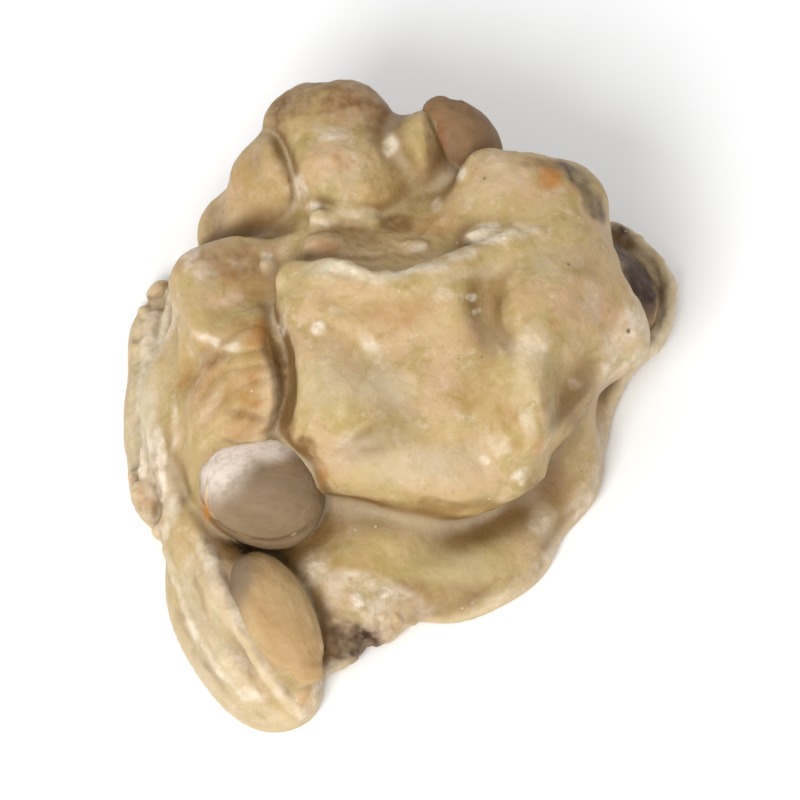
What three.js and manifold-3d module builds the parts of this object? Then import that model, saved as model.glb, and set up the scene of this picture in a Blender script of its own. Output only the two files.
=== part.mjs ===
// A white chocolate peanut cluster: roasted peanut kernels dropped as one spoonful of white chocolate, which
// has set with a flat underside and a thin spread rim. Millimetres, +Z up, standing on z = 0, with the middle
// of its base at the origin. The front, towards -Y, is the side where the rim runs out into a long tongue.
//
// The chocolate is one solid. Its form is a distance field: coated kernels are balls and blocks that melt
// into each other, dents and beads are the creases and lips between them, and the foot is a set of pools that
// ran together. A net of faces is laid over the field. The kernels that show bare are turned solids of their
// own.
import * as THREE from "three";
import { mergeVertices } from "three/addons/utils/BufferGeometryUtils.js";
import Module from "manifold-3d";

// ---- driving dimensions, mm ----
const MIDDLE = [0.03, -2.7]; // middle of the base, in the frame that the lumps below are placed in
const NET_STEP = 1.0; // size of the net's cells on the chocolate
const NET_LOW = [-24, -31, -4]; // the box that the net is laid in
const NET_HIGH = [25, 25, 22];
const NET_FLOOR = -1.5; // how far the chocolate is carried below its base before it is cut flat
const SEAT_GAP = 0.3; // between a bare kernel and its seat in the chocolate
const FOOT_EDGE = 0.8; // thickness of the foot at its rim
const FOOT_RISE = 2.2; // how much thicker it gets inwards
const FOOT_REACH = 5.0; // over what distance
const RIM_ROUND = 0.9; // rounding of the rim's upper edge
const POOL_BLEND = 2.0; // how the pools of the foot run together
const BLOCK_ROUND = 0.5; // rounding of a block, as a share of its smallest half size
const KERNEL_SIDES = 20; // round a bare kernel
const KERNEL_STEPS = 12; // along it
const KERNEL_TIP = 0.16; // how much narrower its tip is than its round end
const KERNEL_BLUNT = 0.42; // power of its profile: 0.5 is an ellipse, less has blunter ends
const SPLIT_AT = 0.12; // a split kernel's flat face, as a share of its half width off the axis
const CUTTER = 100; // size of the block that cuts the base flat

// slow waves round the foot's outline: how many, how high, where they start (mm, radians)
const WAVER_MIDDLE = -2;
const WAVER = [
  { count: 7, high: 0.22, start: 1 },
  { count: 12, high: 0.18, start: 2.2 },
];

// waves that move the field about, so that no lump is a perfect round: how far they move it along x, y and z,
// how fast they turn along x, y and z, and where they start (mm, radians a mm, radians). They fade out
// downwards over SWAY_FADE, so that the foot stays level.
const SWAY_FADE = 3;
const SWAY = [
  { move: [0.5, 0, 0], turn: [0, 0.41, 0.52], start: 0.7 },
  { move: [0.1, 0, 0], turn: [0.6, -0.9, 1.3], start: 0 },
  { move: [0, 0.5, 0], turn: [0.47, 0, -0.38], start: 2.1 },
  { move: [0, 0.1, 0], turn: [1.1, 0.5, 1.2], start: 0 },
  { move: [0, 0, 0.4], turn: [0.36, 0.43, 0], start: 4.0 },
  { move: [0, 0, 0.1], turn: [-0.8, 1.2, 0.4], start: 0 },
];

const CHOCOLATE = new THREE.MeshStandardMaterial({ color: 0xd6bd92, roughness: 0.42, metalness: 0 });
const KERNEL = new THREE.MeshStandardMaterial({ color: 0xb98d5c, roughness: 0.5, metalness: 0 });

// ---- the lumps: at = middle, half = half sizes along its own X, Y and Z, turn = yaw, pitch and roll in
// degrees, blend = how widely the chocolate fills the crease round it ----
const ball = (at, half, blend, turn = [0, 0, 0]) => ({ kind: "ball", at, half, blend, turn });
const block = (at, half, blend, turn = [0, 0, 0]) => ({ kind: "block", at, half, blend, turn });
const dent = (at, half, blend, turn = [0, 0, 0]) => ({ kind: "dent", at, half, blend, turn });

const LUMPS = {
  mound: ball([-1.2, 0.5, 2.0], [12.6, 12.2, 12.0], 1.6),
  mound_back: ball([-0.5, 9.0, 3.0], [12.0, 9.0, 9.5], 2.5),
  terrace: block([-0.9, 4.6, 9.2], [7.0, 5.3, 4.8], 2.0, [0, 0, -16]),
  // the broad front face and the kernels under it
  plate: block([-0.9, -1.9, 9.8], [7.4, 6.4, 5.6], 1.4, [0, 0, 38]),
  plate_right: ball([9.2, -0.4, 11.2], [5.4, 6.4, 5.6], 2.4, [0, 0, 34]),
  slope_right: ball([11.5, 1.2, 10.4], [4.3, 5.0, 4.8], 2.4),
  bulge_left: ball([-4.7, -5.8, 11.0], [4.0, 4.5, 4.0], 1.5, [0, 0, 34]),
  bulge_mid: ball([2.0, -6.4, 10.7], [4.8, 4.6, 3.6], 2.2, [0, 0, 36]),
  bulge_low: ball([1.8, -10.3, 7.7], [8.4, 2.7, 3.4], 2.0, [2, 0, 0]),
  bulge_end: ball([8.0, -9.0, 8.0], [2.4, 2.6, 3.0], 1.2),
  finger: ball([8.8, -6.9, 12.2], [3.2, 1.5, 1.8], 1.6, [-88, -44, 0]),
  front_right: ball([8.4, -5.6, 9.2], [4.4, 4.4, 4.8], 2.2),
  saddle: ball([10.3, -3.6, 7.0], [3.0, 4.0, 4.8], 2.4),
  apron_right: ball([11.4, -2.2, 3.6], [3.1, 4.6, 4.4], 2.2),
  apron_low: ball([10.6, -5.4, 0.4], [3.0, 5.0, 3.4], 2.6),
  knuckle_right: ball([13.7, 1.3, 9.1], [3.9, 4.2, 4.2], 1.4),
  shoulder: ball([10.9, 6.0, 10.8], [4.0, 4.4, 4.4], 2.4),
  crown_right: ball([8.2, 9.1, 12.9], [4.6, 3.4, 3.7], 1.8, [8, 0, 0]),
  crown_corner: ball([10.8, 9.6, 12.0], [3.4, 3.4, 3.8], 1.6),
  crown_front: ball([6.8, 6.0, 12.4], [4.6, 3.4, 3.6], 2.4),
  crown_side: ball([11.8, 8.8, 7.0], [3.7, 4.0, 3.9], 2.2),
  // the lobe at the rear
  lobe: ball([-3.6, 11.6, 12.2], [4.4, 4.2, 4.3], 1.1),
  lobe_back: ball([-4.5, 15.4, 12.1], [4.8, 4.0, 3.9], 1.4),
  lobe_flank: ball([-8.4, 12.4, 9.0], [6.4, 3.0, 3.0], 0.4, [40, 40, 0]),
  lobe_side: ball([-9.4, 11.8, 8.4], [3.2, 3.4, 4.2], 2.4),
  lobe_gap: ball([-8.8, 12.0, 10.6], [1.9, 3.4, 3.5], 0.6),
  lobe_ridge: ball([1.7, 13.0, 12.2], [1.9, 2.9, 4.0], 1.7),
  lobe_filler: ball([0.4, 12.6, 10.6], [3.2, 3.0, 3.8], 1.4),
  // the left side
  left_top: block([-11.2, 2.5, 8.2], [4.4, 4.6, 4.4], 1.6, [4, 0, 15]),
  left_crescent: ball([-13.2, -0.2, 6.6], [3.2, 2.2, 2.8], 1.6, [10, 0, 0]),
  left_wall: ball([-11.0, -4.6, 6.2], [4.2, 5.4, 5.2], 1.5, [-6, 0, 0]),
  left_fill: ball([-9.6, -4.4, 9.1], [3.1, 5.4, 3.4], 1.8, [0, 0, 22]),
  left_slope: ball([-14.2, -3.0, 2.4], [3.6, 6.6, 3.6], 2.4, [8, 0, 0]),
  left_pocket: ball([-12.6, -9.0, 3.4], [3.0, 3.8, 4.2], 2.0),
  // the low front
  lip_bed: ball([-12.2, -15.8, 1.6], [2.0, 2.8, 2.7], 1.5),
  toe: ball([-3.6, -14.6, 2.0], [4.6, 4.9, 2.7], 3.0),
  toe_bridge: ball([3.0, -13.0, 1.6], [7.0, 4.2, 2.3], 3.0),
  toe_wall: ball([-3.0, -18.2, 1.3], [3.7, 2.3, 2.4], 0.9),
  toe_corner: ball([-4.7, -20.0, 0.9], [2.0, 2.6, 1.8], 0.8, [-20, 0, 0]),
  // the back
  back_left: ball([-9.9, 11.6, 5.2], [4.6, 3.6, 3.8], 1.1, [35, 0, 0]),
  back_low_left: ball([-5.6, 15.6, 3.0], [5.2, 3.6, 3.4], 1.0, [-12, 0, 0]),
  back_mid: ball([0.6, 15.6, 6.4], [4.4, 3.6, 3.8], 1.0, [10, 0, 0]),
  back_low: ball([2.8, 16.4, 2.6], [5.0, 3.4, 3.0], 1.0, [14, 0, 0]),
  back_right: ball([8.0, 12.4, 4.8], [5.6, 3.8, 3.9], 1.1, [-30, 10, 0]),
  right_back: ball([14.2, 7.8, 3.0], [4.0, 5.2, 3.8], 1.8, [20, 0, 0]),
  // the body of chocolate under the right side
  core_right: ball([11.2, 4.8, 5.8], [3.0, 3.0, 3.0], 0.3),
  // creases
  valley: dent([6.9, -1.4, 17.5], [0.9, 3.2, 1.6], 1.8, [6, 0, 38]),
  valley_right: dent([11.9, -6.2, 13.2], [1.3, 2.8, 1.6], 2.6, [-10, 0, 42]),
  crease_left: dent([-8.5, -4.5, 13.8], [0.5, 5.4, 1.6], 1.2, [0, 0, 38]),
};

// ---- beads: round ridges of chocolate along a route ----
const BEADS = {
  crest: {
    route: [[-7.6, 1.2, 15.5], [-5.2, 0.6, 16.7], [-2.4, 0.1, 17.1], [0.8, 0.1, 16.9], [3.8, 1.2, 16.8],
      [7.2, 3.1, 16.1], [10.4, 4.4, 14.4]],
    radius: 1.0,
    blend: 1.3,
  },
  crescent: {
    route: [[-15.0, 0.9, 8.0], [-13.8, -0.8, 9.3], [-12.2, -1.9, 10.4], [-10.6, -2.1, 11.0]],
    radius: 0.8,
    blend: 1.1,
  },
  sheet_edge: {
    route: [[-14.4, 6.8, 7.4], [-15.2, 5.0, 7.4], [-15.7, 2.8, 6.4], [-16.7, 0.2, 4.8],
      [-17.2, -3.6, 3.7], [-17.3, -7.2, 3.0], [-16.2, -10.6, 2.9], [-14.4, -13.2, 3.1]],
    radius: 0.8,
    blend: 1.8,
  },
  lip: {
    route: [[-15.6, -11.6, 2.1], [-13.2, -15.0, 2.4], [-12.1, -18.2, 2.2], [-10.3, -21.2, 1.9],
      [-8.5, -23.8, 1.6], [-7.4, -24.9, 1.1]],
    radius: 1.5,
    blend: 1.5,
  },
  lip_edge: {
    route: [[-14.4, -13.2, 3.1], [-13.2, -15.6, 3.8], [-12.3, -18.2, 3.8], [-10.9, -20.9, 3.5],
      [-8.9, -23.6, 2.9], [-7.5, -25.1, 1.7]],
    radius: 0.55,
    blend: 0.6,
  },
  rim_right: {
    route: [[15.6, 14.0, 1.2], [17.6, 12.2, 1.8], [19.0, 9.8, 2.1], [20.0, 8.0, 2.2], [19.5, 5.4, 2.1],
      [18.4, 3.4, 1.8], [16.4, 1.4, 1.4], [14.8, -0.6, 1.2], [13.9, -3.0, 1.0]],
    radius: 0.6,
    blend: 1.4,
  },
};

// ---- the foot's pools: middle, half sizes and yaw ----
const POOLS = [
  { at: [-2.8, -1.0], half: [17.3, 15.0], yaw: 0 },
  { at: [-11.0, -17.1], half: [5.3, 10.3], yaw: 17 },
  { at: [2.5, -9.3], half: [9.1, 8.6], yaw: 0 },
  { at: [11.2, 7.2], half: [8.9, 6.5], yaw: 12 },
  { at: [-14.9, -8.4], half: [4.4, 3.6], yaw: 0 },
  { at: [9.4, -6.6], half: [3.8, 4.0], yaw: 0 },
  { at: [11.9, 0.6], half: [4.0, 4.0], yaw: 0 },
  { at: [-2.0, 10.6], half: [12.5, 9.0], yaw: 0 },
  { at: [-12.6, 5.4], half: [7.2, 5.6], yaw: 0 },
];

// ---- the kernels that show bare: half length and half width, turned as the lumps are ----
const KERNELS = {
  kernel_round: { at: [-9.8, -10.9, 6.3], half: [4.5, 4.15], turn: [172, -6, 0] },
  kernel_long: { at: [-8.7, -19.8, 3.3], half: [5.4, 2.75], turn: [-63, 0, 0] },
  kernel_crown: { at: [4.2, 14.4, 12.3], half: [3.9, 2.7], turn: [146, 57, 0] },
  kernel_back: { at: [6.4, 14.0, 4.6], half: [5.6, 3.6], turn: [-24, 8, 0] },
  kernel_split: { at: [-4.5, 17.6, 5.1], half: [6.0, 3.9], turn: [22, -14, -138], split: true },
};

// A lump's own axes: yaw about Z, then pitch nose up, then roll about its length.
function axesOf([yaw, pitch, roll]) {
  const rad = THREE.MathUtils.degToRad;
  return new THREE.Matrix4().makeRotationFromEuler(new THREE.Euler(rad(roll), -rad(pitch), rad(yaw), "ZYX"));
}

// Two distances joined with a fillet of size k.
function melt(a, b, k) {
  const h = Math.max(k - Math.abs(a - b), 0) / k;
  return Math.min(a, b) - (h * h * k) / 4;
}

const cut = (a, b, k) => -melt(-a, b, k);

// Near enough the distance from an ellipse or ellipsoid with these half sizes.
function roundDistance(point, half) {
  const near = Math.hypot(...point.map((v, i) => v / half[i]));
  const slope = Math.hypot(...point.map((v, i) => v / half[i] ** 2));
  return (near * (near - 1)) / Math.max(slope, 1e-6);
}

function blockDistance(point, half) {
  const r = Math.min(...half) * BLOCK_ROUND;
  const q = point.map((v, i) => Math.abs(v) - half[i] + r);
  return Math.hypot(...q.map((v) => Math.max(v, 0))) + Math.min(Math.max(...q), 0) - r;
}

for (const lump of Object.values(LUMPS)) lump.into = axesOf(lump.turn).transpose();

function lumpDistance(lump, p) {
  const [x, y, z] = lump.at;
  const local = new THREE.Vector3(p.x - x, p.y - y, p.z - z).applyMatrix4(lump.into).toArray();
  return lump.kind === "block" ? blockDistance(local, lump.half) : roundDistance(local, lump.half);
}

function beadDistance(bead, p) {
  const nearest = new THREE.Vector3();
  const spans = bead.route.slice(1).map((end, i) => {
    const span = new THREE.Line3(new THREE.Vector3(...bead.route[i]), new THREE.Vector3(...end));
    return span.closestPointToPoint(p, true, nearest).distanceTo(p);
  });
  return Math.min(...spans) - bead.radius;
}

// Distance from the foot's outline in plan, negative inside, with a slow waver round it.
function outlineDistance(x, y) {
  let d = Infinity;
  for (const pool of POOLS) {
    const c = Math.cos(THREE.MathUtils.degToRad(pool.yaw));
    const s = Math.sin(THREE.MathUtils.degToRad(pool.yaw));
    const [px, py] = [x - pool.at[0], y - pool.at[1]];
    const e = roundDistance([px * c + py * s, py * c - px * s], pool.half);
    d = d === Infinity ? e : melt(d, e, POOL_BLEND);
  }
  const angle = Math.atan2(y - WAVER_MIDDLE, x);
  return WAVER.reduce((sum, wave) => sum + wave.high * Math.sin(wave.count * angle + wave.start), d);
}

function footDistance(p) {
  const d = outlineDistance(p.x, p.y);
  const top = FOOT_EDGE + FOOT_RISE * (1 - Math.exp(Math.min(d, 0) / FOOT_REACH));
  return -melt(-d, top - p.z, RIM_ROUND);
}

function sway(point) {
  const up = THREE.MathUtils.clamp(point.z / SWAY_FADE, 0, 1);
  const moved = point.clone();
  for (const wave of SWAY) {
    const phase = point.dot(new THREE.Vector3(...wave.turn)) + wave.start;
    moved.addScaledVector(new THREE.Vector3(...wave.move), up * Math.sin(phase));
  }
  return moved;
}

function chocolateDistance(point) {
  const p = sway(point);
  let d = footDistance(p);
  for (const lump of Object.values(LUMPS)) {
    const own = lumpDistance(lump, p);
    d = lump.kind === "dent" ? cut(d, own, lump.blend) : melt(d, own, lump.blend);
  }
  for (const bead of Object.values(BEADS)) d = melt(d, beadDistance(bead, p), bead.blend);
  return Math.max(d, NET_FLOOR - point.z);
}

// A grid of corners over a box, and the distance at each.
class Grid {
  constructor(distance, low, high, step) {
    this.low = new THREE.Vector3(...low);
    this.step = step;
    this.count = low.map((l, i) => Math.ceil((high[i] - l) / step) + 1);
    this.value = new Float32Array(this.count[0] * this.count[1] * this.count[2]);
    this.each(0, (...cell) => {
      this.value[this.at(...cell)] = distance(this.corner(...cell));
    });
  }

  at(i, j, k) {
    return i + this.count[0] * (j + this.count[1] * k);
  }

  corner(i, j, k) {
    return new THREE.Vector3(i, j, k).multiplyScalar(this.step).add(this.low);
  }

  // Calls `visit` with each corner, leaving out `margin` of them on every side.
  each(margin, visit) {
    const [nx, ny, nz] = this.count.map((n) => n - margin);
    for (let k = margin; k < nz; k++) {
      for (let j = margin; j < ny; j++) {
        for (let i = margin; i < nx; i++) visit(i, j, k);
      }
    }
  }
}

const AXES = [[1, 0, 0], [0, 1, 0], [0, 0, 1]];
const SQUARE = [[0, 0], [1, 0], [1, 1], [0, 1]];
// The corner reached from another by `a` and `b` steps across the axis numbered `axis`.
const across = (from, axis, a, b) =>
  from.map((n, i) => n + a * AXES[(axis + 1) % 3][i] + b * AXES[(axis + 2) % 3][i]);

// Where the solid would touch itself only along an edge, which is where a square of the grid is inside at two
// opposite corners only, the corner nearest to the surface is moved just inside.
function untangle(grid) {
  const JUST_INSIDE = -1e-3;
  let found = true;
  while (found) {
    found = false;
    grid.each(1, (...cell) => {
      AXES.forEach((_, axis) => {
        const square = SQUARE.map(([a, b]) => grid.at(...across(cell, axis, a, b)));
        const inside = square.map((n) => grid.value[n] < 0);
        if (inside[0] !== inside[2] || inside[1] !== inside[3] || inside[0] === inside[1]) return;
        const out = square.filter((_, n) => !inside[n]);
        const nearest = grid.value[out[0]] < grid.value[out[1]] ? out[0] : out[1];
        grid.value[nearest] = JUST_INSIDE;
        found = true;
      });
    });
  }
}

// Lays a net of faces over the zero surface of a distance: one vertex in each cell that the surface crosses,
// at the mean of its crossings with the cell's edges, and two triangles round each edge that it crosses.
function netOver(distance, low, high, step) {
  const grid = new Grid(distance, low, high, step);
  untangle(grid);
  const positions = [];
  const vertexOf = new Map();
  grid.each(1, (...cell) => {
    const crossings = [];
    AXES.forEach((along, axis) => {
      for (const [a, b] of SQUARE) {
        const from = across(cell, axis, a, b);
        const to = from.map((n, i) => n + along[i]);
        const d0 = grid.value[grid.at(...from)];
        const d1 = grid.value[grid.at(...to)];
        if (d0 < 0 !== d1 < 0) crossings.push(grid.corner(...from).lerp(grid.corner(...to), d0 / (d0 - d1)));
      }
    });
    if (!crossings.length) return;
    vertexOf.set(grid.at(...cell), positions.length / 3);
    const sum = crossings.reduce((total, point) => total.add(point), new THREE.Vector3());
    positions.push(...sum.divideScalar(crossings.length).toArray());
  });

  const index = [];
  const vertex = (n) => new THREE.Vector3().fromArray(positions, 3 * n);
  grid.each(2, (...cell) => {
    AXES.forEach((along, axis) => {
      const inside = grid.value[grid.at(...cell)] < 0;
      if (inside === grid.value[grid.at(...cell.map((n, i) => n + along[i]))] < 0) return;
      const ring = SQUARE.map(([a, b]) => vertexOf.get(grid.at(...across(cell, axis, -a, -b))));
      const [p, q, r, s] = inside ? ring : ring.reverse();
      const shorter = vertex(p).distanceTo(vertex(r)) < vertex(q).distanceTo(vertex(s));
      index.push(...(shorter ? [p, q, r, p, r, s] : [q, r, s, q, s, p]));
    });
  });
  const net = new THREE.BufferGeometry();
  net.setAttribute("position", new THREE.Float32BufferAttribute(positions, 3));
  return net.setIndex(index);
}

// ---- solids ----
const wasm = await Module();
wasm.setup();

function solidOf(geometry) {
  const bare = new THREE.BufferGeometry();
  bare.setAttribute("position", geometry.attributes.position).setIndex(geometry.index);
  const merged = mergeVertices(bare, 1e-4);
  const vertProperties = new Float32Array(merged.attributes.position.array);
  const triVerts = new Uint32Array(merged.index.array);
  return new wasm.Manifold(new wasm.Mesh({ numProp: 3, vertProperties, triVerts }));
}

function geometryOf(solid) {
  const mesh = solid.getMesh();
  const geometry = new THREE.BufferGeometry();
  geometry.setAttribute("position", new THREE.Float32BufferAttribute(mesh.vertProperties, 3));
  return geometry.setIndex(Array.from(mesh.triVerts));
}

// A kernel turned about its length, from its round end to its narrower tip, grown by `grow` all over.
function kernelGeometry({ at, half: [length, width], turn, split = false }, grow = 0) {
  const profile = [];
  for (let n = 0; n <= KERNEL_STEPS; n++) {
    const t = -Math.cos((Math.PI * n) / KERNEL_STEPS);
    const radius = (width + grow) * (1 - t * t) ** KERNEL_BLUNT * (1 - KERNEL_TIP * t);
    profile.push(new THREE.Vector2(n % KERNEL_STEPS ? radius : 0, t * (length + grow)));
  }
  const turned = new THREE.LatheGeometry(profile, KERNEL_SIDES).rotateZ(-Math.PI / 2);
  const place = axesOf(turn).setPosition(...at);
  if (!split) return turned.applyMatrix4(place);
  const size = 4 * length;
  const keep = new THREE.BoxGeometry(size, size, size).translate(0, size / 2 - SPLIT_AT * width, 0);
  return geometryOf(solidOf(turned).intersect(solidOf(keep))).applyMatrix4(place);
}

// The chocolate: the net over the field, cut flat at z = 0, with a seat for each bare kernel. A split
// kernel's seat is as deep as a whole kernel's, so that its flat face lies open.
function chocolateGeometry() {
  const net = netOver(chocolateDistance, NET_LOW, NET_HIGH, NET_STEP);
  const below = new THREE.BoxGeometry(CUTTER, CUTTER, CUTTER).translate(0, 0, -CUTTER / 2);
  let solid = solidOf(net).subtract(solidOf(below));
  for (const kernel of Object.values(KERNELS)) {
    solid = solid.subtract(solidOf(kernelGeometry({ ...kernel, split: false }, SEAT_GAP)));
  }
  return geometryOf(solid.decompose().sort((a, b) => b.volume() - a.volume())[0]);
}

const cluster = new THREE.Group();
cluster.name = "peanut_cluster";

function addPiece(name, geometry, material) {
  const mesh = new THREE.Mesh(geometry, material);
  mesh.name = name;
  mesh.position.set(-MIDDLE[0], -MIDDLE[1], 0);
  cluster.add(mesh);
}

addPiece("chocolate", chocolateGeometry(), CHOCOLATE);
for (const [name, kernel] of Object.entries(KERNELS)) addPiece(name, kernelGeometry(kernel), KERNEL);

export default cluster;
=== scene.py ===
import itertools
import math

import bpy
import numpy as np
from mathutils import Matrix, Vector


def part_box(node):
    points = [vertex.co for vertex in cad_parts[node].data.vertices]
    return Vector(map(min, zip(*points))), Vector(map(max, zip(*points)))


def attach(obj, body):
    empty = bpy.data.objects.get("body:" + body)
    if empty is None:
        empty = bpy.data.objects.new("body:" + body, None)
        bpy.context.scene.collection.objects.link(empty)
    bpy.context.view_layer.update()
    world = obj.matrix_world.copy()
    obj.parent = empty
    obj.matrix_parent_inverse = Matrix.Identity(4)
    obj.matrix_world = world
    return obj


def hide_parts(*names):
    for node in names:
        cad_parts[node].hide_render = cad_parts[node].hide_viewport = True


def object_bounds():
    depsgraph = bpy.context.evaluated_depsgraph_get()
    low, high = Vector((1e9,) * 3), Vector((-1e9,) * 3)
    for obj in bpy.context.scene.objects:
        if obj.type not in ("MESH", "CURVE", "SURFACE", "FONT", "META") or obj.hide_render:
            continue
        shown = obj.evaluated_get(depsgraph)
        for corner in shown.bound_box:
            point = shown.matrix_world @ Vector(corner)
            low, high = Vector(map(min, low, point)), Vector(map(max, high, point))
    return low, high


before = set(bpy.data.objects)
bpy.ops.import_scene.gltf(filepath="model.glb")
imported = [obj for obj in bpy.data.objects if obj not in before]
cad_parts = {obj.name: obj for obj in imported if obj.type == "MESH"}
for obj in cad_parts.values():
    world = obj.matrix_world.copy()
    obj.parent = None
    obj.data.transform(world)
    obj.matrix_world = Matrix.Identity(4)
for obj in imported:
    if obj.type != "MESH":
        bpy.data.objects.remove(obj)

# A white chocolate peanut cluster. The chocolate is sculpted as a distance field, laid over with a fine net
# of faces, and given its small relief and its tones vertex by vertex. The bare kernels are shaped one by one.
CAD_LOW, CAD_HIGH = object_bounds()
MM = 0.001
NET_STEP = 0.32  # millimetres, halved once more when the net is refined
KERNEL_NET = 72  # faces along each side of the blown-up cube that a kernel starts as

# ---------------------------------------------------------------- the form, in millimetres
# The same named lumps, beads, pools and kernels as the part's own solids, with the fine ones added.
MIDDLE = np.array([0.03, -2.70, 0.0])  # the point of the form that is the origin of the frame

# name: middle, half sizes, blend and, where it is turned, its yaw, pitch and roll in degrees
LUMPS = {
    "mound": ((-1.2, 0.5, 2.0), (12.6, 12.2, 12.0), 1.6),
    "mound_back": ((-0.5, 9.0, 3.0), (12.0, 9.0, 9.5), 2.5),
    "terrace": ((-0.9, 4.6, 9.2), (7.0, 5.3, 4.8), 2.0, (0, 0, -16)),
    "plate": ((-0.9, -1.9, 9.8), (7.4, 6.4, 5.6), 1.4, (0, 0, 38)),
    "plate_right": ((9.2, -0.4, 11.2), (5.4, 6.4, 5.6), 2.4, (0, 0, 34)),
    "slope_right": ((11.5, 1.2, 10.4), (4.3, 5.0, 4.8), 2.4),
    "bulge_left": ((-4.7, -5.8, 11.0), (4.0, 4.5, 4.0), 1.5, (0, 0, 34)),
    "bulge_mid": ((2.0, -6.4, 10.7), (4.8, 4.6, 3.6), 2.2, (0, 0, 36)),
    "bulge_low": ((1.8, -10.3, 7.7), (8.4, 2.7, 3.4), 2.0, (2, 0, 0)),
    "bulge_end": ((8.0, -9.0, 8.0), (2.4, 2.6, 3.0), 1.2),
    "finger": ((8.8, -6.9, 12.2), (3.2, 1.5, 1.8), 1.6, (-88, -44, 0)),
    "front_right": ((8.4, -5.6, 9.2), (4.4, 4.4, 4.8), 2.2),
    "saddle": ((10.3, -3.6, 7.0), (3.0, 4.0, 4.8), 2.4),
    "apron_right": ((11.4, -2.2, 3.6), (3.1, 4.6, 4.4), 2.2),
    "apron_low": ((10.6, -5.4, 0.4), (3.0, 5.0, 3.4), 2.6),
    "knuckle_right": ((13.7, 1.3, 9.1), (3.9, 4.2, 4.2), 1.4),
    "shoulder": ((10.9, 6.0, 10.8), (4.0, 4.4, 4.4), 2.4),
    "crown_right": ((8.2, 9.1, 12.9), (4.6, 3.4, 3.7), 1.8, (8, 0, 0)),
    "crown_corner": ((10.8, 9.6, 12.0), (3.4, 3.4, 3.8), 1.6),
    "crown_front": ((6.8, 6.0, 12.4), (4.6, 3.4, 3.6), 2.4),
    "crown_side": ((11.8, 8.8, 7.0), (3.7, 4.0, 3.9), 2.2),
    "lobe": ((-3.6, 11.6, 12.2), (4.4, 4.2, 4.3), 1.1),
    "lobe_back": ((-4.5, 15.4, 12.1), (4.8, 4.0, 3.9), 1.4),
    "lobe_flank": ((-8.4, 12.4, 9.0), (6.4, 3.0, 3.0), 0.4, (40, 40, 0)),
    "lobe_side": ((-9.4, 11.8, 8.4), (3.2, 3.4, 4.2), 2.4),
    "lobe_gap": ((-8.8, 12.0, 10.6), (1.9, 3.4, 3.5), 0.6),
    "lobe_ridge": ((1.7, 13.0, 12.2), (1.9, 2.9, 4.0), 1.7),
    "lobe_filler": ((0.4, 12.6, 10.6), (3.2, 3.0, 3.8), 1.4),
    "left_top": ((-11.2, 2.5, 8.2), (4.4, 4.6, 4.4), 1.6, (4, 0, 15)),
    "left_crescent": ((-13.2, -0.2, 6.6), (3.2, 2.2, 2.8), 1.6, (10, 0, 0)),
    "left_wall": ((-11.0, -4.6, 6.2), (4.2, 5.4, 5.2), 1.5, (-6, 0, 0)),
    "left_fill": ((-9.6, -4.4, 9.1), (3.1, 5.4, 3.4), 1.8, (0, 0, 22)),
    "left_slope": ((-14.2, -3.0, 2.4), (3.6, 6.6, 3.6), 2.4, (8, 0, 0)),
    "left_pocket": ((-12.6, -9.0, 3.4), (3.0, 3.8, 4.2), 2.0),
    "lip_bed": ((-12.2, -15.8, 1.6), (2.0, 2.8, 2.7), 1.5),
    "toe": ((-3.6, -14.6, 2.0), (4.6, 4.9, 2.7), 3.0),
    "toe_bridge": ((3.0, -13.0, 1.6), (7.0, 4.2, 2.3), 3.0),
    "toe_wall": ((-3.0, -18.2, 1.3), (3.7, 2.3, 2.4), 0.9),
    "toe_corner": ((-4.7, -20.0, 0.9), (2.0, 2.6, 1.8), 0.8, (-20, 0, 0)),
    "back_left": ((-9.9, 11.6, 5.2), (4.6, 3.6, 3.8), 1.1, (35, 0, 0)),
    "back_low_left": ((-5.6, 15.6, 3.0), (5.2, 3.6, 3.4), 1.0, (-12, 0, 0)),
    "back_mid": ((0.6, 15.6, 6.4), (4.4, 3.6, 3.8), 1.0, (10, 0, 0)),
    "back_low": ((2.8, 16.4, 2.6), (5.0, 3.4, 3.0), 1.0, (14, 0, 0)),
    "back_right": ((8.0, 12.4, 4.8), (5.6, 3.8, 3.9), 1.1, (-30, 10, 0)),
    "right_back": ((14.2, 7.8, 3.0), (4.0, 5.2, 3.8), 1.8, (20, 0, 0)),
    "core_right": ((11.2, 4.8, 5.8), (3.0, 3.0, 3.0), 0.3),
    "valley": ((6.9, -1.4, 17.5), (0.9, 3.2, 1.6), 1.8, (6, 0, 38)),
    "valley_right": ((11.9, -6.2, 13.2), (1.3, 2.8, 1.6), 2.6, (-10, 0, 42)),
    "crease_left": ((-8.5, -4.5, 13.8), (0.5, 5.4, 1.6), 1.2, (0, 0, 38)),
}

BLOCKS = ("terrace", "plate", "left_top")  # these are blocks, and the rest of the lumps are balls
DENTS = ("valley", "valley_right", "crease_left")  # these are cut out, and the rest are melted in

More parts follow.
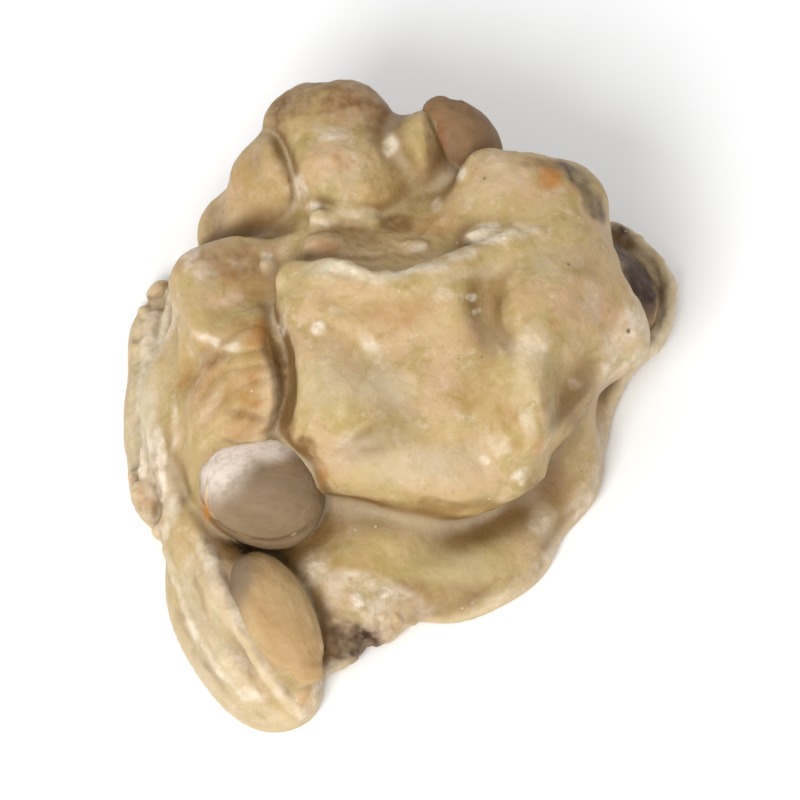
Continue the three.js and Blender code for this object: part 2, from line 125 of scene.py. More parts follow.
# name: route, radius, blend
BEADS = {
    "crest": (((-7.6, 1.2, 15.5), (-5.2, 0.6, 16.7), (-2.4, 0.1, 17.1), (0.8, 0.1, 16.9), (3.8, 1.2, 16.8),
               (7.2, 3.1, 16.1), (10.4, 4.4, 14.4)), 1.0, 1.3),
    "crescent": (((-15.0, 0.9, 8.0), (-13.8, -0.8, 9.3), (-12.2, -1.9, 10.4), (-10.6, -2.1, 11.0)),
                 0.8, 1.1),
    "sheet_edge": (((-14.4, 6.8, 7.4), (-15.2, 5.0, 7.4), (-15.7, 2.8, 6.4), (-16.7, 0.2, 4.8),
                    (-17.2, -3.6, 3.7), (-17.3, -7.2, 3.0), (-16.2, -10.6, 2.9), (-14.4, -13.2, 3.1)),
                   0.8, 1.8),
    "lip": (((-15.6, -11.6, 2.1), (-13.2, -15.0, 2.4), (-12.1, -18.2, 2.2), (-10.3, -21.2, 1.9),
             (-8.5, -23.8, 1.6), (-7.4, -24.9, 1.1)), 1.5, 1.5),
    "lip_edge": (((-14.4, -13.2, 3.1), (-13.2, -15.6, 3.8), (-12.3, -18.2, 3.8), (-10.9, -20.9, 3.5),
                  (-8.9, -23.6, 2.9), (-7.5, -25.1, 1.7)), 0.55, 0.6),
    "rim_right": (((15.6, 14.0, 1.2), (17.6, 12.2, 1.8), (19.0, 9.8, 2.1), (20.0, 8.0, 2.2), (19.5, 5.4, 2.1),
                   (18.4, 3.4, 1.8), (16.4, 1.4, 1.4), (14.8, -0.6, 1.2), (13.9, -3.0, 1.0)), 0.6, 1.4),
}

# the foot's pools: middle, half sizes, yaw
POOLS = (
    ((-2.8, -1.0), (17.3, 15.0), 0),
    ((-11.0, -17.1), (5.3, 10.3), 17),
    ((2.5, -9.3), (9.1, 8.6), 0),
    ((11.2, 7.2), (8.9, 6.5), 12),
    ((-14.9, -8.4), (4.4, 3.6), 0),
    ((9.4, -6.6), (3.8, 4.0), 0),
    ((11.9, 0.6), (4.0, 4.0), 0),
    ((-2.0, 10.6), (12.5, 9.0), 0),
    ((-12.6, 5.4), (7.2, 5.6), 0),
)
POOL_BLEND = 2.0
BLOCK_ROUND = 0.5  # the rounding of a block's edges, as a share of its least half size
WAVER = ((7, 0.22, 1.0), (12, 0.18, 2.2))  # waves round the foot's edge: how many, how high, where they start
WAVER_MIDDLE = -2  # the y about which they go round
# the foot's height at its edge, how much it rises inwards, how far in that takes, and how round its edge is
FOOT_EDGE, FOOT_RISE, FOOT_REACH, RIM_ROUND = 0.8, 2.2, 5.0, 0.9
BASE_ROUND = 0.25  # the rounding of the flat underside's edge

# the bare kernels: middle, half length and half width, turn
KERNELS = {
    "kernel_round": ((-9.8, -10.9, 6.3), (4.5, 4.15), (172, -6, 0)),
    "kernel_long": ((-8.7, -19.8, 3.3), (5.4, 2.75), (-63, 0, 0)),
    "kernel_crown": ((4.2, 14.4, 12.3), (3.9, 2.7), (146, 57, 0)),
    "kernel_back": ((6.4, 14.0, 4.6), (5.6, 3.6), (-24, 8, 0)),
    "kernel_split": ((-4.5, 17.6, 5.1), (6.0, 3.9), (22, -14, -138)),
}
KERNEL_TIP = 0.16  # how much slimmer a kernel is at its tip than in the middle
KERNEL_BLUNT = 0.42  # the power that rounds its ends
SPLIT_AT = 0.12  # how far off the middle the split kernel's face lies, as a share of its half width
LEAST_SLOPE = 0.15  # the least slope that a kernel's distance is divided by
GRIP = 0.3  # how far under a bare kernel's surface the chocolate goes on
GRIP_BLEND = 0.8  # how widely it creeps up round the kernel
SEAT_ROUND = 0.3  # the rounding of the edge of the split kernel's seat

# waves that move the field about: how far along x, y and z, how fast they turn along each, where they start
SWAY = (
    ((0.5, 0, 0), (0, 0.41, 0.52), 0.7),
    ((0.1, 0, 0), (0.6, -0.9, 1.3), 0.0),
    ((0, 0.5, 0), (0.47, 0, -0.38), 2.1),
    ((0, 0.1, 0), (1.1, 0.5, 1.2), 0.0),
    ((0, 0, 0.4), (0.36, 0.43, 0), 4.0),
    ((0, 0, 0.1), (-0.8, 1.2, 0.4), 0.0),
)
SWAY_FADE = 3.0  # the waves come in over this height


def axes(turn):
    """The columns are the turned X, Y and Z: yaw about Z, pitch nose up, roll about the length."""
    yaw, pitch, roll = np.radians(turn)
    cy, sy, cp, sp, cr, sr = (f(a) for a in (yaw, pitch, roll) for f in (math.cos, math.sin))
    rz = np.array([[cy, -sy, 0], [sy, cy, 0], [0, 0, 1]])
    ry = np.array([[cp, 0, -sp], [0, 1, 0], [sp, 0, cp]])
    rx = np.array([[1, 0, 0], [0, cr, -sr], [0, sr, cr]])
    return rz @ ry @ rx


def smin(a, b, k):
    """The lesser of two distances, with a fillet of size k where they meet."""
    h = np.maximum(k - np.abs(a - b), 0) / k
    return np.minimum(a, b) - h * h * k / 4


def smax(a, b, k):
    """The greater of two distances, rounded off alike."""
    return -smin(-a, -b, k)


def rounded(p, half):
    """Near enough the distance from an ellipse or ellipsoid."""
    half = np.asarray(half, float)
    near = np.sqrt(((p / half) ** 2).sum(-1))
    slope = np.sqrt(((p / half**2) ** 2).sum(-1))
    return near * (near - 1) / np.maximum(slope, 1e-6)


def boxed(p, half):
    """The distance from a block with rounded edges."""
    r = min(half) * BLOCK_ROUND
    q = np.abs(p) - half + r
    return np.sqrt((np.maximum(q, 0) ** 2).sum(-1)) + np.minimum(q.max(-1), 0) - r


def beaded(p, route, radius):
    """The distance from a round bead along a route."""
    best = np.full(len(p), np.inf)
    for a, b in zip(route[:-1], route[1:]):
        a, span = np.array(a), np.array(b) - a
        t = np.clip((p - a) @ span / (span @ span), 0, 1)
        best = np.minimum(best, ((p - a - t[:, None] * span) ** 2).sum(-1))
    return np.sqrt(best) - radius


def kernel_profile(t):
    """The radius of a kernel at t, from -1 at its round end to 1 at its tip, for a half width of 1."""
    return np.maximum(1 - t * t, 0) ** KERNEL_BLUNT * (1 - KERNEL_TIP * t)


def kernel_distance(p, at, half, turn):
    """Near enough the distance from a kernel."""
    local = (p - np.array(at)) @ axes(turn)
    length, width = half
    t = local[:, 0] / length
    fat = width * (1 - KERNEL_TIP * np.clip(t, -1, 1))
    rho = np.sqrt(local[:, 1] ** 2 + local[:, 2] ** 2) / fat
    power = 1 / KERNEL_BLUNT
    over = rho**power + t * t - 1
    slope = np.hypot(power * rho ** (power - 1) / fat, 2 * t / length)
    return over / np.maximum(slope, LEAST_SLOPE)


def outline(x, y):
    """The distance from the foot's edge, seen from above."""
    d = None
    for (px, py), half, yaw in POOLS:
        c, s = math.cos(math.radians(yaw)), math.sin(math.radians(yaw))
        local = np.stack([(x - px) * c + (y - py) * s, (y - py) * c - (x - px) * s], -1)
        e = rounded(local, half)
        d = e if d is None else smin(d, e, POOL_BLEND)
    angle = np.arctan2(y - WAVER_MIDDLE, x)
    return d + sum(high * np.sin(count * angle + start) for count, high, start in WAVER)


def sway(p):
    """The points moved about by the slow waves."""
    up = np.clip(p[:, 2:] / SWAY_FADE, 0, 1)
    out = p.copy()
    for move, turn, start in SWAY:
        out += up * np.sin(p @ np.array(turn, float) + start)[:, None] * np.array(move, float)
    return out


def joined(d, p, lumps):
    """d with each lump melted in, or cut out of it, worked out only near the lump."""
    for name, (at, half, blend, *turn) in lumps.items():
        reach = max(half) + 2 * blend + 1
        near = np.flatnonzero(((p - np.array(at)) ** 2).sum(-1) < reach * reach)
        local = (p[near] - np.array(at)) @ axes(turn[0] if turn else (0, 0, 0))
        own = boxed(local, np.array(half)) if name in BLOCKS else rounded(local, half)
        d[near] = smax(d[near], -own, blend) if name in DENTS else smin(d[near], own, blend)
    return d


# small solid details of the same chocolate, as the lumps are given: nodules, crumbs and grains
SMALL = {
    "nodule_a": ((-5.6, 6.8, 14.0), (0.9, 0.8, 0.7), 0.5),
    "nodule_b": ((-5.4, 4.5, 14.1), (1.5, 0.9, 0.8), 0.6, (12, 0, 0)),
    "nodule_c": ((1.0, 4.2, 14.3), (0.9, 0.7, 0.6), 0.5),
    "nodule_d": ((-9.4, 3.7, 12.9), (0.6, 0.5, 0.5), 0.4),
    "ledge_back": ((-3.4, 7.0, 13.6), (1.8, 0.9, 0.8), 0.6, (-6, 0, 0)),
    "grain_plate": ((-5.4, -3.2, 15.3), (0.5, 0.45, 0.4), 0.3),
    "grain_valley": ((5.4, -0.6, 15.6), (0.36, 0.3, 0.3), 0.35),
    "grain_valley_low": ((5.5, -1.9, 15.2), (0.3, 0.3, 0.26), 0.3),
    "grain_toe": ((-3.1, -18.3, 3.1), (0.45, 0.42, 0.36), 0.25),
    "grain_toe_right": ((-1.0, -17.7, 3.2), (0.34, 0.34, 0.3), 0.25),
    "grain_end": ((8.3, -11.2, 8.9), (0.8, 0.5, 0.5), 0.4),
    "bead_crest": ((6.6, 4.5, 15.3), (1.9, 0.7, 0.7), 0.5, (-6, 0, 0)),
    "chip_crown": ((10.7, 8.9, 15.7), (1.1, 0.9, 0.7), 0.5, (30, 0, 0)),
    "crumb_a": ((-17.6, 8.6, 1.0), (1.0, 0.7, 0.9), 0.4, (35, 0, 0)),
    "crumb_b": ((-19.2, 3.6, 0.9), (0.5, 0.9, 0.6), 0.4, (15, 0, 0)),
    "crumb_c": ((-18.7, 7.0, 0.8), (0.5, 0.5, 0.5), 0.25),
    "crumb_d": ((-18.6, -8.4, 1.3), (0.9, 0.7, 0.7), 0.35, (-40, 0, 0)),
    "crumb_e": ((-17.9, -9.8, 1.4), (0.6, 0.9, 0.6), 0.35, (20, 0, 0)),
    "crumb_f": ((-19.3, -6.8, 0.9), (0.5, 0.6, 0.6), 0.3),
    "crumb_g": ((-17.2, -11.4, 1.3), (0.5, 0.7, 0.5), 0.3, (-25, 0, 0)),
    "drip_lip": ((-13.2, -14.9, 4.0), (0.7, 0.9, 0.5), 0.5, (20, 0, 0)),
}

# thin lines of chocolate, as the beads are given: the ridges of the left edge, the crest of the lip and the
# streaks of the skirt outside it
LINES = {
    "left_ridge": (((-16.4, 8.0, 1.6), (-16.8, 5.6, 2.0), (-17.0, 3.2, 2.0), (-17.6, 1.0, 1.7)), 0.5, 0.7),
    "left_ridge_mid": (((-17.8, 6.4, 1.2), (-18.3, 4.0, 1.5), (-18.2, 1.2, 1.5), (-18.6, -1.6, 1.4)),
                       0.45, 0.6),
    "left_ridge_low": (((-17.9, 0.0, 1.9), (-18.2, -3.0, 1.8), (-18.4, -6.0, 1.6), (-17.8, -9.0, 1.5)),
                       0.4, 0.6),
    "skirt_outer": (((-16.2, -13.0, 1.3), (-15.3, -16.6, 1.4), (-14.1, -19.8, 1.4), (-12.3, -22.8, 1.3),
                     (-10.2, -25.0, 1.0)), 0.5, 0.6),
    "lip_crest": (((-14.2, -13.6, 3.9), (-13.4, -15.6, 4.7), (-12.7, -18.0, 4.7), (-11.5, -20.7, 4.2),
                   (-9.9, -23.2, 3.4), (-8.3, -25.2, 2.2), (-7.0, -26.2, 1.2)), 0.42, 0.4),
    "skirt_fill": (((-14.0, -16.6, 2.0), (-13.2, -19.0, 2.0), (-11.7, -21.6, 1.9), (-9.8, -23.9, 1.5)),
                   1.0, 1.0),
    "skirt_inner": (((-14.9, -15.6, 2.3), (-14.0, -19.0, 2.4), (-12.3, -22.2, 2.3), (-10.2, -24.7, 1.7)),
                    0.4, 0.6),
}


def body(p):
    """The distance from the chocolate at points in the form's millimetres."""
    q = sway(p)
    edge = outline(q[:, 0], q[:, 1])
    top = FOOT_EDGE + FOOT_RISE * (1 - np.exp(np.minimum(edge, 0) / FOOT_REACH))
    d = smax(edge, q[:, 2] - top, RIM_ROUND)
    d = joined(d, q, LUMPS)
    for route, radius, blend in BEADS.values():
        d = smin(d, beaded(q, route, radius), blend)
    d = joined(d, p, SMALL)
    for route, radius, blend in LINES.values():
        d = smin(d, beaded(p, route, radius), blend)
    for name, (at, half, turn) in KERNELS.items():
        near = np.flatnonzero(((p - np.array(at)) ** 2).sum(-1) < (half[0] + GRIP_BLEND + 1) ** 2)
        own = kernel_distance(p[near], at, half, turn)
        if name == "kernel_split":
            d[near] = smax(d[near], -(own + GRIP), SEAT_ROUND)
        else:
            d[near] = smin(d[near], own + GRIP, GRIP_BLEND)
    return smax(d, -p[:, 2], BASE_ROUND)


# ---------------------------------------------------------------- noise
CORNERS = tuple(itertools.product((0, 1), repeat=3))  # the eight corners of a cell
# large odd numbers that scatter the values, and what keeps them to 32 bits
HASH = (374761393, 668265263, 2147483647, 1442695041)
HASH_MIX = (1274126177, 2246822519)
WORD = 0xFFFFFFFF
SEED_STEP = 17.17  # how far apart the noises of two seeds are taken
ROUGH_LEVELS, ROUGH_FALL = 3, 1.7  # how many sizes of noise are added up, and how fast they get weaker


def lattice(cell, seed):
    """A fixed value from 0 to 1 at each whole-number place."""
    i = cell.astype(np.int64)
    h = (i[..., 0] * HASH[0] + i[..., 1] * HASH[1] + i[..., 2] * HASH[2] + seed * HASH[3]) & WORD
    h = ((h ^ (h >> 13)) * HASH_MIX[0]) & WORD
    h = ((h ^ (h >> 16)) * HASH_MIX[1]) & WORD
    return (h ^ (h >> 15)).astype(float) / WORD


def noise(p, size, seed, stretch=(1, 1, 1)):
    """Smooth noise from -1 to 1 with lumps of that size."""
    q = p / (size * np.array(stretch, float)) + seed * SEED_STEP
    base = np.floor(q)
    f = q - base
    f = f * f * f * (f * (f * 6 - 15) + 10)
    out = 0.0
    for corner in CORNERS:
        weight = 1.0
        for axis, step in enumerate(corner):
            weight = weight * (f[..., axis] if step else 1 - f[..., axis])
        out = out + weight * lattice(base + corner, seed)
    return 2 * out - 1


def rough(p, size, seed):
    """Noise with finer noise on it."""
    return sum(noise(p, size / 2**n, seed + n) / ROUGH_FALL**n for n in range(ROUGH_LEVELS))


def spot(p, at, half, soft, turn=(0, 0, 0)):
    """1 inside an ellipsoid, falling to 0 over a share of its size past its surface."""
    local = ((p - np.array(at)) @ axes(turn)) / np.array(half, float)
    r = np.sqrt((local**2).sum(-1))
    return ramp(1 + soft - r, 0, 2 * soft)


def ramp(x, low, high):
    """0 up to low, 1 from high, and smooth between."""
    t = np.clip((x - low) / (high - low), 0, 1)
    return t * t * (3 - 2 * t)


# ---------------------------------------------------------------- the net of faces
NET_LOW = np.array([-23.0, -30.0, -1.6])
NET_HIGH = np.array([23.5, 24.5, 20.4])
COARSE = 4  # fine cells along each cell of the first, coarse look at the field
COARSE_REACH = 1.9  # how many coarse cells from the surface a block still counts as near
UNTANGLE_ROUNDS = 12  # at most
JUST_INSIDE = -1e-3  # the distance given to a corner that is taken in
SETTLE_ROUNDS = 2
SETTLE_STEP, SETTLE_CARE = 0.3, 0.9  # the most that a vertex moves at once, and the share of its distance
SQUARE = ((0, 0), (1, 0), (1, 1), (0, 1))  # its corners in turn


def sampled(distance, step):
    """The field on a grid, worked out in full only near its surface."""
    count = np.ceil((NET_HIGH - NET_LOW) / (step * COARSE)).astype(int)
    big = step * COARSE
    corners = np.stack(np.meshgrid(*[np.arange(n + 1) for n in count], indexing="ij"), -1)
    rough_d = distance((NET_LOW + corners.reshape(-1, 3) * big)).reshape(corners.shape[:3])
    fine = count * COARSE + 1
    at = [np.minimum(np.arange(n) // COARSE, c - 1) for n, c in zip(fine, count)]
    close = np.abs(rough_d) < big * COARSE_REACH
    block = np.zeros(count, bool)
    for dx, dy, dz in CORNERS:
        block |= close[dx : dx + count[0], dy : dy + count[1], dz : dz + count[2]]
    # a grid point is worked out where any block that it touches is near the surface
    wide = np.zeros(fine, bool)
    for corner in CORNERS:
        low = [np.clip((np.arange(n) - s) // COARSE, 0, c - 1) for n, c, s in zip(fine, count, corner)]
        wide |= block[np.ix_(*low)]
    d = rough_d[np.ix_(*at)].copy()
    cells = np.argwhere(wide)
    d[wide] = distance(NET_LOW + cells * step)
    return d


def untangled(d):
    """Where only two opposite corners of a grid square are inside, its nearer outside corner is taken in."""
    for _ in range(UNTANGLE_ROUNDS):
        found = False
        for axis in range(3):
            v = np.moveaxis(d, axis, 0)
            a, b, c, e = v[:, :-1, :-1], v[:, 1:, :-1], v[:, 1:, 1:], v[:, :-1, 1:]
            inside = [x < 0 for x in (a, b, c, e)]
            odd = (inside[0] == inside[2]) & (inside[1] == inside[3]) & (inside[0] != inside[1])
            for first, other, is_in in ((a, c, inside[1]), (b, e, inside[0])):
                take_first = odd & is_in & (first <= other)
                take_other = odd & is_in & (first > other)
                first[take_first] = JUST_INSIDE
                other[take_other] = JUST_INSIDE
            found = found or bool(odd.any())
        if not found:
            break
    return d


def cells_beside(where, axis):
    """The four cells round each of the grid's edges named, which lie along that axis."""
    for a, b in SQUARE:
        cell = where.copy()
        cell[:, (axis + 1) % 3] -= a
        cell[:, (axis + 2) % 3] -= b
        yield cell


def netted(d, step):
    """Vertices and four-sided faces over the zero surface: a vertex in each cell that the surface crosses."""
    cells = tuple(n - 1 for n in d.shape)
    total = np.zeros(cells + (3,))
    hits = np.zeros(cells)
    crossings = []
    for axis in range(3):
        low = [slice(None)] * 3
        high = [slice(None)] * 3
        low[axis], high[axis] = slice(0, -1), slice(1, None)
        d0, d1 = d[tuple(low)], d[tuple(high)]
        cross = (d0 < 0) != (d1 < 0)
        where = np.argwhere(cross)
        point = where.astype(float)
        point[:, axis] += d0[cross] / (d0[cross] - d1[cross])
        crossings.append((axis, where, d0[cross] < 0))
        for cell in cells_beside(where, axis):
            fits = ((cell >= 0) & (cell < cells)).all(-1)
            flat = np.ravel_multi_index(tuple(cell[fits].T), cells)
            hits.ravel()[:] += np.bincount(flat, minlength=hits.size)
            for n in range(3):
                added = np.bincount(flat, weights=point[fits, n], minlength=hits.size)
                total.reshape(-1, 3)[:, n] += added
    used = hits > 0
    number = np.full(cells, -1, np.int64)
    number[used] = np.arange(int(used.sum()))
    points = total[used] / hits[used][:, None] * step + NET_LOW
    faces = []
    for axis, where, inside in crossings:
        ring = np.stack([number[tuple(cell.T)] for cell in cells_beside(where, axis)], -1)
        ring[~inside] = ring[~inside][:, ::-1]
        faces.append(ring)
    return points, np.concatenate(faces)


def normals_of(points, quads):
    """The surface's direction at each vertex, from the faces round it."""
    a, b, c, e = (points[quads[:, n]] for n in range(4))
    n = np.cross(c - a, e - b)
    out = np.zeros_like(points)
    for k in range(4):
        for m in range(3):
            out[:, m] += np.bincount(quads[:, k], weights=n[:, m], minlength=len(points))
    return out / np.maximum(np.sqrt((out**2).sum(-1, keepdims=True)), 1e-12)


def refined(points, quads):
    """Each face split into four."""
    sides = np.concatenate([np.stack([quads[:, n], quads[:, (n + 1) % 4]], -1) for n in range(4)])
    key = np.sort(sides, -1)
    key = key[:, 0] * len(points) + key[:, 1]
    keys, back = np.unique(key, return_inverse=True)
    mids = (points[keys // len(points)] + points[keys % len(points)]) / 2
    centres = points[quads].mean(1)
    n, m = len(points), len(quads)
    mid = back.reshape(4, m).T + n
    centre = np.arange(m) + n + len(mids)
    new = [np.stack([quads[:, k], mid[:, k], centre, mid[:, (k + 3) % 4]], -1) for k in range(4)]
    return np.concatenate([points, mids, centres]), np.concatenate(new)


def settled(points, quads):
    """Each vertex of the chocolate moved along the surface's normal until it lies on the zero surface."""
    for _ in range(SETTLE_ROUNDS):
        step = np.clip(body(points), -SETTLE_STEP, SETTLE_STEP)
        points = points - normals_of(points, quads) * step[:, None] * SETTLE_CARE
    return points


def chocolate_net():
    """The chocolate's vertices and faces, before its relief."""
    points, quads = netted(untangled(sampled(body, NET_STEP)), NET_STEP)
    points, quads = refined(settled(points, quads), quads)
    return settled(points, quads), quads


